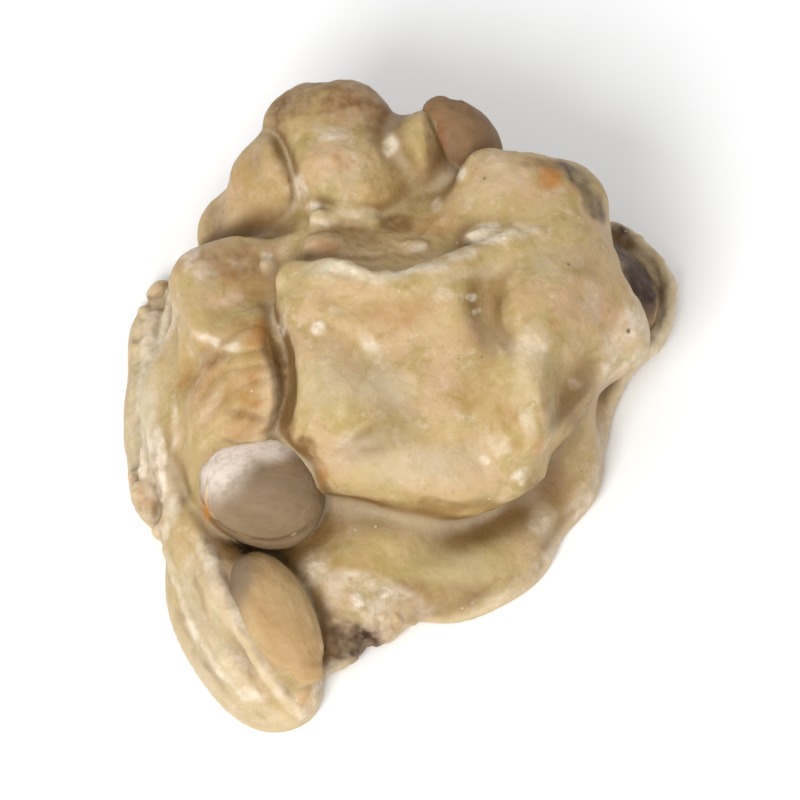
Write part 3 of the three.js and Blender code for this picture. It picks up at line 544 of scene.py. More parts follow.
# ---------------------------------------------------------------- where the tones lie
# Each mark is set on the front view. Those of a kind that end as softly, as a share of their size, and
# have the same half depth in millimetres are listed together: place across and down and half sizes on the
# view's raster, strength and, where the mark is turned, its turn in degrees.
RASTER = 4.2  # steps in a millimetre
RASTER_MIDDLE = (406, 280)  # where the form's origin falls
FRONT_VIEW = math.radians(60)  # how steeply the front view looks down
SIGHT_START = 40  # millimetres in front of the form
SIGHT_STEPS = 240
SIGHT_CARE = 0.6  # the share of the distance that each step goes
MARKS = {
    "warm": {
        (0.45, 1.2): ((382, 233, 6, 2.8, 1.0),),
        (0.5, 1.0): ((364, 249, 3, 2, 0.5),),
        (0.5, 1.2): ((355, 250, 6, 3, 0.9), (361, 288, 8, 2, 0.7), (378, 368, 2, 3, 0.6)),
        (0.5, 1.6): ((384, 208, 8, 7, 0.8), (355, 216, 3, 5, 0.5), (474, 247, 4, 5, 0.6),
            (468, 254, 5, 5, 0.7), (355, 331, 3, 6, 0.9)),
        (0.6, 1.0): ((414, 253, 5, 4, 0.4), (404, 262, 4, 3, 0.4), (425, 262, 4, 4, 0.45)),
        (0.6, 1.2): ((398, 206, 5, 3, 0.5), (418, 271, 6, 4, 0.5)),
        (0.6, 1.4): ((444, 216, 5, 4, 0.6), (443, 249, 4, 5, 0.6), (340, 295, 3, 14, 0.5),
            (386, 340, 6, 5, 0.6)),
        (0.6, 1.6): ((362, 275, 8, 4, 0.7),),
        (0.6, 1.8): ((434, 211, 9, 6, 0.7), (348, 280, 5, 9, 0.6)),
        (0.6, 2.0): ((460, 252, 8, 9, 0.7),),
        (0.7, 1.6): ((392, 251, 15, 6, 0.55), (405, 255, 7, 4, 0.6), (412, 298, 14, 7, 0.5)),
    },
    # olive: the coat's olive-yellow, and painted shade in the groove under the low front bulge and beside the
    # finger
    "olive": {
        (0.5, 1.0): ((345, 300, 1.6, 14, 0.5), (337, 305, 1.2, 10, 0.5), (343, 344, 1.6, 9, 0.6, 15),
            (352, 350.5, 1, 6, 0.5, 32), (347, 357, 1.4, 6, 0.6, 35), (359, 360.5, 1, 5, 0.5, 42)),
        (0.5, 1.8): ((375, 225, 4, 2, 1.0), (451, 270, 3.5, 9, 0.7)),
        (0.5, 2.4): ((452, 311, 8, 3, 0.7, 20), (412, 312, 30, 3.4, 1.0), (400, 313, 15, 3.2, 0.8),
            (430, 314, 15, 3.2, 0.8)),
        (0.6, 1.4): ((410, 205, 3, 9, 0.6), (437, 223, 8, 4, 0.4), (350, 256, 8, 4, 0.8),
            (433, 281, 3, 8, 0.5), (343, 344, 5, 12, 0.85, 12), (350, 360, 3, 8, 0.6, 35)),
        (0.6, 1.6): ((438, 274, 1.4, 8, 0.6),),
        (0.6, 2.4): ((420, 326, 34, 10, 0.6), (408, 334, 16, 7, 0.9)),
        (0.7, 1.4): ((402, 251, 10, 3, 0.4), (380, 279, 7, 8, 0.35)),
        (0.7, 1.6): ((392, 331, 9, 6, 0.4), (345, 350, 4, 9, 0.55, 28), (354, 362, 4, 7, 0.5, 45)),
    },
    "cool": {
        (0.6, 1.6): ((412, 230, 4, 2, 0.6),),
        (0.6, 1.8): ((388, 210, 7, 7, 0.5), (438, 213, 7, 5, 0.45)),
        (0.6, 2.4): ((330, 262, 4, 14, 0.6), (329, 290, 3, 12, 0.6)),
        (0.7, 1.8): ((443, 272, 4.5, 8, 0.25), (425, 330, 12, 5, 0.35)),
        (0.7, 2.0): ((385, 275, 8, 7, 0.55), (401, 276, 7, 6, 0.7), (412, 299, 18, 6, 0.5)),
        (0.8, 2.0): ((451, 239, 7, 5, 0.5),),
    },
    # gold: a golden coat, laid partly as painted shade in the grooves and creases
    "gold": {
        (0.5, 1.0): ((440, 294, 3, 2, 0.6),),
        (0.5, 1.4): ((357, 345, 1, 6, 0.8, 30), (365, 357, 1.2, 8, 0.8, 45)),
        (0.5, 1.6): ((343, 273, 4, 7, 0.8),),
        (0.5, 2.0): ((371, 277, 1.8, 8, 0.9), (357, 346, 1.4, 8, 0.9, 28)),
        (0.5, 2.4): ((452, 296, 3.2, 11, 0.7),),
        (0.6, 1.0): ((391, 263, 3, 5, 0.35),),
        (0.6, 1.2): ((359, 259, 5, 3, 0.6),),
        (0.6, 1.4): ((431, 268, 2, 7, 0.6),),
        (0.6, 1.6): ((405, 254, 10, 5, 0.5), (364, 268, 5, 6, 0.5), (437, 285, 6, 3, 0.5)),
        (0.6, 1.8): ((415, 228, 9, 5, 0.7), (366, 247, 8, 5, 0.6)),
        (0.6, 2.0): ((350, 274, 8, 9, 0.8), (362, 281, 8, 8, 0.8), (390, 332, 10, 6, 0.4)),
        (0.6, 2.4): ((470, 274, 10, 3.2, 0.7), (457, 284, 6, 9, 0.5), (424, 315, 24, 3.2, 0.6)),
        (0.7, 1.4): ((430, 250, 5, 7, 0.6), (427, 279, 7, 4, 0.65)),
        (0.7, 2.0): ((402, 216, 11, 5, 0.5),),
        (0.7, 2.4): ((362, 212, 9, 12, 0.45),),
    },
    # brown: a browner coat where it lies thin over kernels, and painted shade on the band behind the crest,
    # the lobe's top, the valley, the grooves and round the kernels
    "brown": {
        (0.4, 2.0): ((373.5, 214, 1.3, 9, 0.9),),
        (0.4, 2.4): ((365, 228.3, 9, 1.4, 0.85),),
        (0.5, 1.0): ((358, 291, 8, 1, 0.5, -12), (346.5, 336, 1.2, 8, 0.55, 15), (342, 349, 0.8, 9, 0.5, 22),
            (350, 361, 0.8, 7, 0.5, 40)),
        (0.5, 1.2): ((396, 237, 17, 1.2, 0.7), (361, 284.5, 8, 1.4, 0.6, -8)),
        (0.5, 1.4): ((405, 227, 5, 3, 0.7), (354.5, 338, 1, 4, 0.8, 20), (358.5, 346.5, 1, 4, 0.8, 28),
            (363.5, 355, 1, 4, 0.8, 38)),
        (0.5, 1.6): ((414.5, 202, 1.4, 8, 0.7), (351, 268, 7, 2.6, 0.55), (332.5, 302, 1.2, 12, 0.75),
            (394, 310.5, 9, 1.8, 0.5), (349, 323, 2, 4.5, 0.85), (353, 334, 3, 8, 0.6, 20)),
        (0.5, 1.8): ((371.5, 267, 1.8, 4.5, 1.0), (373, 287, 2, 5, 0.9), (378.5, 294, 3.5, 3, 0.9, -45),
            (380, 296, 1.8, 6, 0.7, 35), (398, 350, 6, 4, 0.8)),
        (0.5, 2.0): ((450, 209, 8, 2, 0.7), (350, 224, 4, 5, 0.6)),
        (0.5, 2.4): ((470, 228, 2.4, 8, 0.6, 20), (482, 252, 2, 6, 0.8, 15), (446, 306, 3, 6, 0.6),
            (412, 311.5, 30, 2.2, 0.55), (378, 347, 3, 6, 0.8)),
        (0.5, 3.0): ((383, 188, 19, 5, 0.85), (400, 193, 5, 8, 0.7), (369, 198, 3, 8, 0.6),
            (461, 282, 9, 8, 0.85)),
        (0.6, 1.8): ((329, 312, 4, 7, 0.55),),
        (0.6, 2.0): ((392, 230, 12, 4.5, 0.6),),
        (0.6, 2.4): ((359, 238, 15, 7, 0.75),),
        (0.7, 1.4): ((415, 338, 16, 4, 0.7),),
        (0.7, 1.6): ((434, 247, 3, 5, 0.4), (433, 257, 3.2, 5, 0.4)),
        (0.8, 1.6): ((346, 350, 5, 11, 0.45, 28),),
    },
    # dark: painted shade on the steep wall at the right and on the front wall of the toe, and one small dark
    # fleck
    "dark": {
        (0.3, 0.5): ((473.5, 259.5, 0.7, 0.8, 0.8),),
        (0.45, 2.2): ((389, 351, 8, 5, 0.85),),
        (0.5, 2.4): ((458, 212, 3.4, 6, 0.9, 30), (464, 221, 3, 5, 0.8, 30), (383, 351, 5, 6, 0.8),
            (396, 352, 5, 4, 0.7), (392, 354, 7, 4, 0.7)),
        (0.5, 3.0): ((474, 231, 4, 7, 0.9, 25), (479, 242, 3.5, 7, 0.9, 20)),
    },
    "chip": {
        (0.5, 0.8): ((361, 364, 2, 1, 0.5, -40),),
        (0.5, 0.9): ((451, 258, 2, 1.6, 0.4),),
        (0.5, 1.0): ((388, 208, 3.4, 3, 0.5), (457, 217, 2, 2, 0.5), (384, 234, 4, 1.6, 0.35),
            (366, 281, 5, 1, 0.45)),
        (0.5, 1.2): ((451, 213.5, 3.4, 3.4, 0.9), (364, 260, 2.6, 5, 0.5), (447, 294, 2.2, 2.6, 0.55),
            (383.5, 301, 1.6, 4.5, 0.5), (348.5, 314, 1.6, 3.6, 0.9)),
        (0.6, 1.0): ((354, 243, 3, 2.5, 0.3),),
        (0.6, 1.6): ((328.5, 309, 3, 5, 0.5),),
    },
    # pale: chalky bloom and white specks, and painted highlights on the crest, the nodules, the finger and
    # the ends of the low front bulge
    "pale": {
        (0.35, 0.7): ((429, 254.5, 1.4, 1.2, 0.9),),
        (0.35, 0.8): ((428, 249.5, 2.2, 1.5, 0.8), (431, 298, 1.6, 1.4, 0.9), (402, 337, 1.5, 1.5, 0.9),
            (393, 339.5, 1.8, 1.8, 1.0)),
        (0.35, 0.9): ((383, 259, 2.2, 2, 1.0),),
        (0.4, 0.8): ((386, 253, 1.6, 1.4, 0.5), (396, 348.5, 2, 1.2, 0.5), (390, 356.5, 2, 1, 0.5)),
        (0.4, 0.9): ((366, 237, 1.8, 1.5, 0.9), (458, 275.5, 2, 2, 0.5)),
        # painted highlight on the crest
        (0.4, 2.4): ((434, 231, 4.5, 1.6, 1.0),),
        (0.45, 0.9): ((417, 221, 2, 2, 0.8), (383, 226.3, 3.4, 1.4, 0.7), (411, 234.5, 2.4, 1.5, 0.7)),
        (0.45, 1.0): ((349, 262, 5, 1.2, 0.6, -20), (357, 264.5, 4, 1.2, 0.7)),
        (0.5, 0.8): ((419, 249, 3, 2, 0.35),),
        (0.5, 0.9): ((391, 207, 2.4, 2.4, 0.35), (339, 290, 1, 12, 0.55)),
        (0.5, 1.0): ((386, 200, 4.5, 3, 0.8), (403.5, 202.5, 2, 3.4, 0.9), (424.5, 212, 2, 3, 0.8),
            (377, 216, 2, 4, 0.8), (381, 222, 3, 2, 0.7), (392, 223.7, 5, 1.6, 0.5), (356, 250, 4, 2, 0.35),
            (371.5, 258, 1.6, 3, 0.6), (397, 264, 2, 5, 0.65, 25), (350, 281, 1.6, 8, 0.5, -40),
            (444, 286, 2, 4, 0.6), (391, 291, 4, 3, 0.35), (435, 293, 4.5, 2.6, 0.5, -40),
            (328, 300, 1.6, 3, 0.5), (335, 300, 1.2, 10, 0.6), (443, 302, 3.2, 1.8, 0.85, 35),
            (349, 304, 2, 5, 0.5), (336, 319, 2, 3, 0.6), (350, 328, 2.2, 2.6, 0.8),
            (351, 358, 1.6, 4.5, 0.7, 35), (362, 367, 5, 2, 0.6, -25)),
        (0.5, 1.2): ((345, 350, 2, 5, 0.75, 30), (381.5, 364.5, 1.2, 4, 0.9, -25)),
        (0.5, 1.6): ((343, 236, 2.6, 7, 0.7),),
        # painted highlights on the crest
        (0.5, 2.4): ((443, 230, 4.5, 1.8, 0.8), (432, 231.5, 6.5, 2.8, 1.3)),
        (0.6, 1.2): ((434, 208, 5, 4, 0.4), (424, 236, 5, 1.7, 0.7), (388, 241, 7, 1.8, 0.6),
            (413, 241, 8, 1.5, 0.7), (347, 242, 2.6, 3.5, 0.55), (400, 243, 8, 1.7, 0.5),
            (446, 263, 3, 5, 0.4), (443, 265, 4, 4.5, 0.5), (342, 334, 3, 7, 0.35)),
        (0.6, 1.4): ((430, 219, 6, 4, 0.3), (463, 250, 3, 6, 0.4), (449, 317, 4, 4, 0.5),
            (381, 330, 4, 5.5, 0.6)),
    },
}


def first_met(across, down):
    """Where lines of sight of the front view first meet the cluster."""
    towards = np.array([0, -math.cos(FRONT_VIEW), math.sin(FRONT_VIEW)])
    upwards = np.array([0, math.sin(FRONT_VIEW), math.cos(FRONT_VIEW)])
    x = (across - RASTER_MIDDLE[0]) / RASTER
    y = (RASTER_MIDDLE[1] - down) / RASTER
    p = x[:, None] * np.array([1.0, 0, 0]) + y[:, None] * upwards + SIGHT_START * towards
    for _ in range(SIGHT_STEPS):
        d = body(p)
        for at, half, turn in KERNELS.values():
            d = np.minimum(d, kernel_distance(p, at, half, turn))
        p = p - towards * np.clip(d, -1, 1)[:, None] * SIGHT_CARE
    return p


def tones_in_place():
    """The marks as places in the form's own millimetres, by kind of tone."""
    marks = [
        (kind, *look, *mark)
        for kind, looks in MARKS.items()
        for look, group in looks.items()
        for mark in group
    ]
    spots = np.round(first_met(*np.array([mark[3:5] for mark in marks], float).T), 1)
    found = {kind: [] for kind in MARKS}
    for (kind, soft, deep, _, _, wide, high, power, *turn), at in zip(marks, spots):
        found[kind].append((at, (wide / RASTER, high / RASTER, deep), soft, power, *turn))
    return found


# ---------------------------------------------------------------- relief and tones of the chocolate
TILT = 30  # places of tone are rolled by this many degrees, so that their depth is the front view's
RAGGED = ((1.9, 0.3), (0.7, 0.14))  # how the edges of the tones wander: lump size and reach

# tones that the front view doesn't show: middle, half sizes, how softly they end, strength
HIDDEN_TONES = {
    # the brown ones are partly a browner coat and partly painted shade on the back and on the right-hand wall
    "brown": (
        ((17.0, 9.6, 4.0), (2.6, 4.6, 4.0), 0.5, 0.8), ((12.4, 13.4, 8.4), (6.0, 3.0, 5.4), 0.5, 0.8),
        ((-3.6, 17.4, 12.4), (6.8, 3.2, 4.8), 0.45, 0.7), ((-9.4, 15.2, 8.0), (3.2, 3.0, 3.4), 0.6, 0.5),
        ((2.0, 18.4, 5.0), (5.0, 2.4, 2.6), 0.6, 0.6), ((15.4, -3.0, 4.4), (1.6, 2.4, 2.4), 0.6, 0.6),
    ),
    # painted shade on the right-hand wall
    "dark": (
        ((17.0, 8.2, 4.8), (1.8, 5.2, 3.0), 0.35, 0.9), ((14.6, 12.6, 5.6), (2.6, 2.4, 3.4), 0.5, 0.7),
    ),
    "cool": (
        ((-17.6, -2.0, 2.2), (2.4, 9.0, 3.0), 0.5, 0.75), ((-16.6, 4.0, 4.0), (2.0, 4.0, 3.0), 0.5, 0.6),
        ((-13.4, -20.0, 2.0), (2.4, 6.4, 2.0), 0.5, 0.6), ((-3.4, 0.6, 17.6), (6.0, 1.0, 1.4), 0.5, 0.6),
    ),
    "gold": (
        ((10.4, 15.8, 3.2), (3.4, 2.0, 2.0), 0.6, 0.8), ((-12.4, 12.0, 3.0), (3.0, 2.4, 2.2), 0.6, 0.8),
        ((-16.4, 2.0, 5.0), (1.4, 4.0, 2.6), 0.6, 0.6),
    ),
    "pale": (
        ((-8.0, 17.4, 4.0), (2.0, 1.4, 1.0), 0.6, 0.5), ((5.4, 18.6, 2.6), (2.4, 1.2, 0.9), 0.6, 0.5),
    ),
}

# creases and hollows get painted shade, and ridges are paled, partly as chalky bloom and partly as painted
# highlight
# creases, ridges and hollows: how far out, in and out again the field is looked at, and the share of that way
# below which its distance there counts
CREASE_LOOK, CREASE_SHARE = 1.2, 0.93
RIDGE_LOOK, RIDGE_SHARE = 1.0, 0.86
HOLLOW_LOOK, HOLLOW_SHARE = 3.2, 0.8

# these pale edges and the foot's pale rim are partly chalky bloom and partly painted highlight
# beads with a pale edge, and how far from their middle they are fully pale
PALE_BEADS = (("lip_edge", 0.35), ("sheet_edge", 0.8), ("crescent", 0.6))
PALE_LINE_OFF = 0.1  # the lines are fully pale to this much less than their radius
PALE_LIP, PALE_RIM = 0.75, 0.55  # how pale those edges and the foot's rim are


def ragged(p, seed):
    """The points shifted a little, so that what is placed on them has uneven edges."""
    out = p.copy()
    for size, reach in RAGGED:
        for axis in range(3):
            out[:, axis] += reach * noise(p, size, seed + axis)
        seed += 3
    return out


def placed(p, places):
    """How strongly the places named cover each point, from 0 to 1."""
    total = np.zeros(len(p))
    for at, half, soft, power, *turn in places:
        reach = max(half) * (1 + soft)
        near = np.flatnonzero((np.abs(p - np.array(at)) < reach).all(-1))
        turned = axes((0, 0, TILT)) @ axes((turn[0] if turn else 0, 0, 0))
        local = ((p[near] - np.array(at)) @ turned) / np.array(half)
        total[near] += power * ramp(1 + soft - np.sqrt((local**2).sum(-1)), 0, 2 * soft)
    return np.clip(total, 0, 1)


def tones_of(p, n):
    """How strong each tone is at each vertex, from 0 to 1."""
    drift = rough(p, 2.2, 41)
    fleck = rough(p, 0.7, 45)
    loose = ragged(p, 51)
    tone = {}
    for kind, places in tones_in_place().items():
        strength = placed(loose, (*places, *HIDDEN_TONES.get(kind, ())))
        tone[kind] = np.clip(strength * (0.86 + 0.3 * drift + 0.2 * fleck), 0, 1)
    # painted shade in creases and hollows; the ridge tone pales ridges, partly as chalky bloom and partly as
    # painted highlight
    crease, hollow_shade = (body(p + n * look) / look for look in (CREASE_LOOK, HOLLOW_LOOK))
    ridge = -body(p - n * RIDGE_LOOK) / RIDGE_LOOK
    tone["crease"] = ramp(CREASE_SHARE - crease, 0.0, 0.5)
    tone["ridge"] = ramp(RIDGE_SHARE - ridge, 0.0, 0.5)
    tone["hollow_shade"] = ramp(HOLLOW_SHARE - hollow_shade, 0.0, 0.7) * ramp(n[:, 2], -0.5, 0.1)
    edges = [beaded(p, BEADS[name][0], radius) for name, radius in PALE_BEADS]
    edges += [beaded(p, route, radius) + PALE_LINE_OFF for route, radius, _ in LINES.values()]
    lip = ramp(0.5 - np.minimum.reduce(edges), 0.0, 0.5)
    rim = ramp(0.75 + outline(p[:, 0], p[:, 1]), 0.3, 1.0) * ramp(p[:, 2], 0.2, 0.7)
    pale = tone["pale"] + PALE_LIP * lip * (0.8 + 0.5 * drift) + PALE_RIM * rim * (0.7 + 0.6 * drift)
    tone["pale"] = np.clip(pale, 0, 1)
    return tone


SWELLS = ((0.1, 3.4, 1), (0.08, 1.7, 2), (0.045, 0.8, 3), (0.02, 0.45, 4))  # height, lump size and seed
# places with grainy chocolate: how grainy, middle, half sizes, how softly they end
GRAINY = (
    (1.0, (-4.0, 9.8, 15.9), (3.0, 2.4, 2.2), 0.5),
    (1.0, (-3.4, 0.6, 17.8), (5.6, 0.9, 1.2), 0.5),
    (0.6, (8.4, 4.2, 16.6), (3.2, 0.9, 1.2), 0.5),
    (0.8, (0.0, 4.8, 14.2), (9.0, 2.6, 1.6), 0.6),
    (0.8, (8.2, 9.6, 16.0), (3.6, 1.8, 1.6), 0.6),
    (0.5, (-11.6, 1.4, 12.6), (3.6, 3.0, 1.6), 0.6),
    (0.4, (-3.4, -1.4, 16.4), (3.4, 2.0, 1.6), 0.6),
    (1.5, (-2.4, -20.2, 1.4), (4.6, 2.4, 2.0), 0.4),
    (0.8, (-18.4, 2.6, 1.4), (2.0, 8.0, 1.8), 0.5),
    (1.2, (-18.2, -8.8, 1.4), (2.0, 3.0, 1.6), 0.5),
    (0.8, (18.6, 8.0, 2.0), (2.2, 6.0, 2.4), 0.5),
)
MOST_GRAINY = 1.5
CRUST, BROWN_DIP, GOLD_DIP = 0.07, 0.06, 0.05  # how proud pale patches stand and how low the others lie
FOLD_CENTRE = np.array([-8.8, -8.2, 8.4])  # the folds go round this point
FOLD_HIGH, FOLD_STEP = 0.2, 1.0
STREAK_HIGH, STREAK_STEP = 0.09, 0.9
FLOW_HIGH = 0.14
PITS = ((1.7, 0.16, 31), (0.8, 0.07, 32))  # the underside's pits: size, depth and seed


def relieved(p, tone):
    """How far each vertex goes out, in millimetres."""
    lift = sum(high * noise(p, size, seed) for high, size, seed in SWELLS)
    grainy = np.clip(sum(much * spot(p, *place) for much, *place in GRAINY), 0, MOST_GRAINY)
    lift = lift + grainy * (0.15 * rough(p, 1.1, 11) + 0.06 * noise(p, 0.45, 14))
    # whitish patches stand a little proud as a crust, and brown ones lie a little lower
    lift = lift + CRUST * tone["pale"] * (0.6 + rough(p, 0.6, 15)) - BROWN_DIP * tone["brown"]
    lift = lift - GOLD_DIP * tone["gold"]
    # stacked folds on the left wall, where the chocolate sagged round the kernel below it
    far = np.sqrt(((p - FOLD_CENTRE) ** 2).sum(-1)) + 0.35 * noise(p, 2.4, 21)
    folds = spot(p, (-11.2, -5.4, 10.6), (3.4, 4.6, 4.0), 0.45)
    lift = lift + folds * FOLD_HIGH * np.abs(np.sin(math.pi * far / FOLD_STEP)) ** 0.7
    # streaks along the skirt outside the lip
    off = beaded(p, BEADS["lip"][0], 0.0) + 0.2 * noise(p, 2.2, 22)
    skirt = spot(p, (-12.4, -19.4, 1.6), (2.4, 7.6, 2.0), 0.4, (22, 0, 0))
    lift = lift + skirt * STREAK_HIGH * np.sin(2 * math.pi * off / STREAK_STEP)
    # flowing streaks down the left sheet
    sheet = spot(p, (-16.0, -4.4, 4.2), (3.2, 10.4, 4.6), 0.4)
    lift = lift + sheet * FLOW_HIGH * noise(p, 1.0, 23, (1, 5, 1.6))
    return lift * ramp(p[:, 2], 0.05, 0.9)


def underside(p):
    """How deep the small pits of the flat underside are."""
    deep = 0.0
    for size, depth, seed in PITS:
        deep = deep + depth * ramp(noise(p * (1, 1, 0) + (0, 0, 3), size, seed), 0.35, 0.85)
    return deep * ramp(-outline(p[:, 0], p[:, 1]), 0.5, 1.6)


def within(points, low, high, slack):
    """Points past the box drawn in smoothly, over the slack before its sides, so that they lie inside it."""
    out = points.copy()
    for n in range(3):
        for sign, limit in ((1, high[n]), (-1, -low[n])):
            x = sign * out[:, n]
            over = x.max() - limit
            if over > 0:
                start = limit - slack
                t = np.maximum(x - start, 0)
                out[:, n] = sign * np.where(t > 0, start + t * slack / (slack + over), x)
    return out


# ---------------------------------------------------------------- Blender objects
def added(name, data):
    """A new object in the scene."""
    thing = bpy.data.objects.new(name, data)
    bpy.context.scene.collection.objects.link(thing)
    return thing


def made(name, points, quads, tones, material):
    """A piece of four-sided faces from vertices in the form's millimetres, its tones as attributes."""
    mesh = bpy.data.meshes.new(name)
    mesh.vertices.add(len(points))
    mesh.vertices.foreach_set("co", ((points - MIDDLE) * MM).astype(np.float32).ravel())
    mesh.loops.add(quads.size)
    mesh.loops.foreach_set("vertex_index", quads.astype(np.int32).ravel())
    mesh.polygons.add(len(quads))
    mesh.polygons.foreach_set("loop_start", np.arange(len(quads), dtype=np.int32) * 4)
    mesh.polygons.foreach_set("loop_total", np.full(len(quads), 4, np.int32))
    mesh.update(calc_edges=True)
    mesh.validate()
    mesh.shade_smooth()
    for key, values in tones.items():
        if values.ndim == 1:
            layer = mesh.attributes.new(key, "FLOAT", "POINT")
            layer.data.foreach_set("value", values.astype(np.float32))
        else:
            layer = mesh.attributes.new(key, "FLOAT_VECTOR", "POINT")
            layer.data.foreach_set("vector", values.astype(np.float32).ravel())
    mesh.materials.append(material)
    return added(name, mesh)


def linear(*rgb):
    """A colour given as 0 to 255 on the screen."""
    return tuple((c / 255 / 12.92) if c <= 10 else ((c / 255 + 0.055) / 1.055) ** 2.4 for c in rgb) + (1.0,)


MIX_A, MIX_B, MIX_RESULT = 6, 7, 2  # the colour sockets of a mix node
SHINE = 0.24  # the specular level of the chocolate and the skins
SCATTER = 0.8 * MM  # how far light spreads below the surface


class Shader:
    """A material's node tree, built from calls."""

    def __init__(self, name):
        self.material = bpy.data.materials.new(name)
        self.material.use_nodes = True
        self.tree = self.material.node_tree
        self.bsdf = self.tree.nodes["Principled BSDF"]
        self.place = self.node("ShaderNodeTexCoord").outputs["Object"]

    def link(self, value, socket):
        """The socket gets another node's output, or a fixed value."""
        if hasattr(value, "is_linked"):
            self.tree.links.new(value, socket)
        else:
            socket.default_value = value

    def node(self, kind, inputs=None, **settings):
        made_node = self.tree.nodes.new(kind)
        for key, value in settings.items():
            setattr(made_node, key, value)
        for key, value in (inputs or {}).items():
            self.link(value, made_node.inputs[key])
        return made_node

    def tone(self, name):
        return self.node("ShaderNodeAttribute", attribute_name=name).outputs["Fac"]

    def noise(self, size, detail, roughness, distortion=0.0, place=None):
        """Noise from 0 to 1 with lumps of that size in millimetres."""
        inputs = {"Vector": place or self.place, "Scale": 1 / (size * MM), "Detail": detail}
        inputs |= {"Roughness": roughness, "Distortion": distortion}
        return self.node("ShaderNodeTexNoise", inputs).outputs["Fac"]

    def cells(self, size):
        """The distance from the nearest of points strewn about that far apart."""
        inputs = {"Vector": self.place, "Scale": 1 / (size * MM)}
        return self.node("ShaderNodeTexVoronoi", inputs).outputs["Distance"]

    def curve(self, value, low, high, to_low=0.0, to_high=1.0):
        """A value taken smoothly from one range to another."""
        inputs = {"Value": value, "From Min": low, "From Max": high, "To Min": to_low, "To Max": to_high}
        return self.node("ShaderNodeMapRange", inputs, interpolation_type="SMOOTHSTEP").outputs["Result"]

    def math(self, kind, a, b):
        return self.node("ShaderNodeMath", {0: a, 1: b}, operation=kind).outputs[0]

    def mix(self, share, a, b):
        """Colour a, with that share of colour b over it."""
        inputs = {"Factor": share, MIX_A: a, MIX_B: b}
        return self.node("ShaderNodeMix", inputs, data_type="RGBA").outputs[MIX_RESULT]

    def bump(self, *layers):
        """layers: height socket, how high in millimetres."""
        last = {}
        for height, high in layers:
            inputs = {"Height": height, "Distance": high * MM, "Strength": 1.0, **last}
            last = {"Normal": self.node("ShaderNodeBump", inputs).outputs["Normal"]}
        self.link(last["Normal"], self.bsdf.inputs["Normal"])

    def set(self, **values):
        for key, value in values.items():
            self.bsdf.inputs[key.replace("_", " ")].default_value = value


CREAM = linear(180, 156, 108)
CREAM_PINK = linear(184, 156, 118)
CREAM_OLIVE = linear(162, 141, 86)
BLOOM = linear(206, 188, 164)
GRAIN = linear(140, 108, 62)
# the crease and hollow tones are painted shade; dark is painted shade and also the small dark skins; brown,
# olive and gold are partly painted shade in grooves and on faces turned from the lamp; pale and ridge are
# partly painted highlight
TONE_COLOURS = {
    "warm": linear(188, 150, 116),
    "olive": linear(158, 136, 78),
    "cool": linear(194, 182, 156),
    "gold": linear(156, 116, 58),
    "brown": linear(118, 82, 46),
    "dark": linear(60, 33, 15),
    "crease": linear(104, 74, 36),
    "hollow_shade": linear(120, 90, 50),
    "chip": linear(168, 112, 48),
    "pale": linear(220, 206, 186),
    "ridge": linear(214, 198, 168),
}
TONE_SHARE = {"cool": 0.8, "crease": 0.85, "hollow_shade": 0.65, "ridge": 0.35, "olive": 0.8, "warm": 0.9}
KERNEL_GREY = linear(128, 108, 84)
KERNEL_RED = linear(134, 88, 50)
KERNEL_FILM = linear(216, 200, 186)


def chocolate_material():
    """Cream with soft mottling, the named tones over it, painted shade and painted highlights among them,
    pale specks and small dark skins.
    """
    s = Shader("white_chocolate")
    mottle = s.noise(4.2, 4.0, 0.6, 0.4)
    blotch = s.noise(1.9, 4.0, 0.6, 0.8)
    grain = s.noise(0.8, 4.0, 0.62, 0.2)
    bloom = s.noise(1.1, 5.0, 0.66)
    colour = s.mix(s.curve(mottle, 0.38, 0.62), CREAM, CREAM_PINK)
    colour = s.mix(s.curve(blotch, 0.46, 0.66, 0.0, 0.8), colour, CREAM_OLIVE)
    colour = s.mix(s.curve(bloom, 0.52, 0.72, 0.0, 0.45), colour, BLOOM)
    colour = s.mix(s.curve(grain, 0.56, 0.76, 0.0, 0.4), colour, GRAIN)
    broken = {
        "warm": s.curve(grain, 0.25, 0.7, 0.45, 1.0),
        "gold": s.curve(grain, 0.25, 0.7, 0.6, 1.0),
        "brown": s.curve(grain, 0.25, 0.7, 0.6, 1.0),
        "pale": s.curve(bloom, 0.32, 0.66, 0.3, 1.0),
    }
    bare = s.math("SUBTRACT", 1.0, s.tone("dark"))
    for key, tint in TONE_COLOURS.items():
        strength = s.tone(key)
        if key in TONE_SHARE:
            strength = s.math("MULTIPLY", strength, TONE_SHARE[key])
        if key in broken:
            strength = s.math("MULTIPLY", strength, broken[key])
        if key in ("pale", "ridge"):
            strength = s.math("MULTIPLY", strength, bare)
        colour = s.mix(strength, colour, tint)
    specks = s.curve(s.cells(1.9), 0.02, 0.075, 0.5, 0.0)
    colour = s.mix(specks, colour, TONE_COLOURS["pale"])
    skins = s.curve(s.cells(4.6), 0.012, 0.04, 0.6, 0.0)
    colour = s.mix(skins, colour, TONE_COLOURS["dark"])
    s.link(colour, s.bsdf.inputs["Base Color"])
    s.link(s.curve(bloom, 0.3, 0.75, 0.42, 0.62), s.bsdf.inputs["Roughness"])
    s.set(
        Subsurface_Weight=0.28,
        Subsurface_Radius=(1.0, 0.55, 0.26),
        Subsurface_Scale=SCATTER,
        Specular_IOR_Level=SHINE,
        Coat_Weight=0.03,
        Coat_Roughness=0.35,
    )
    s.bump((s.noise(1.0, 3.0, 0.5), 0.1), (s.noise(0.35, 3.0, 0.6), 0.05))
    return s.material


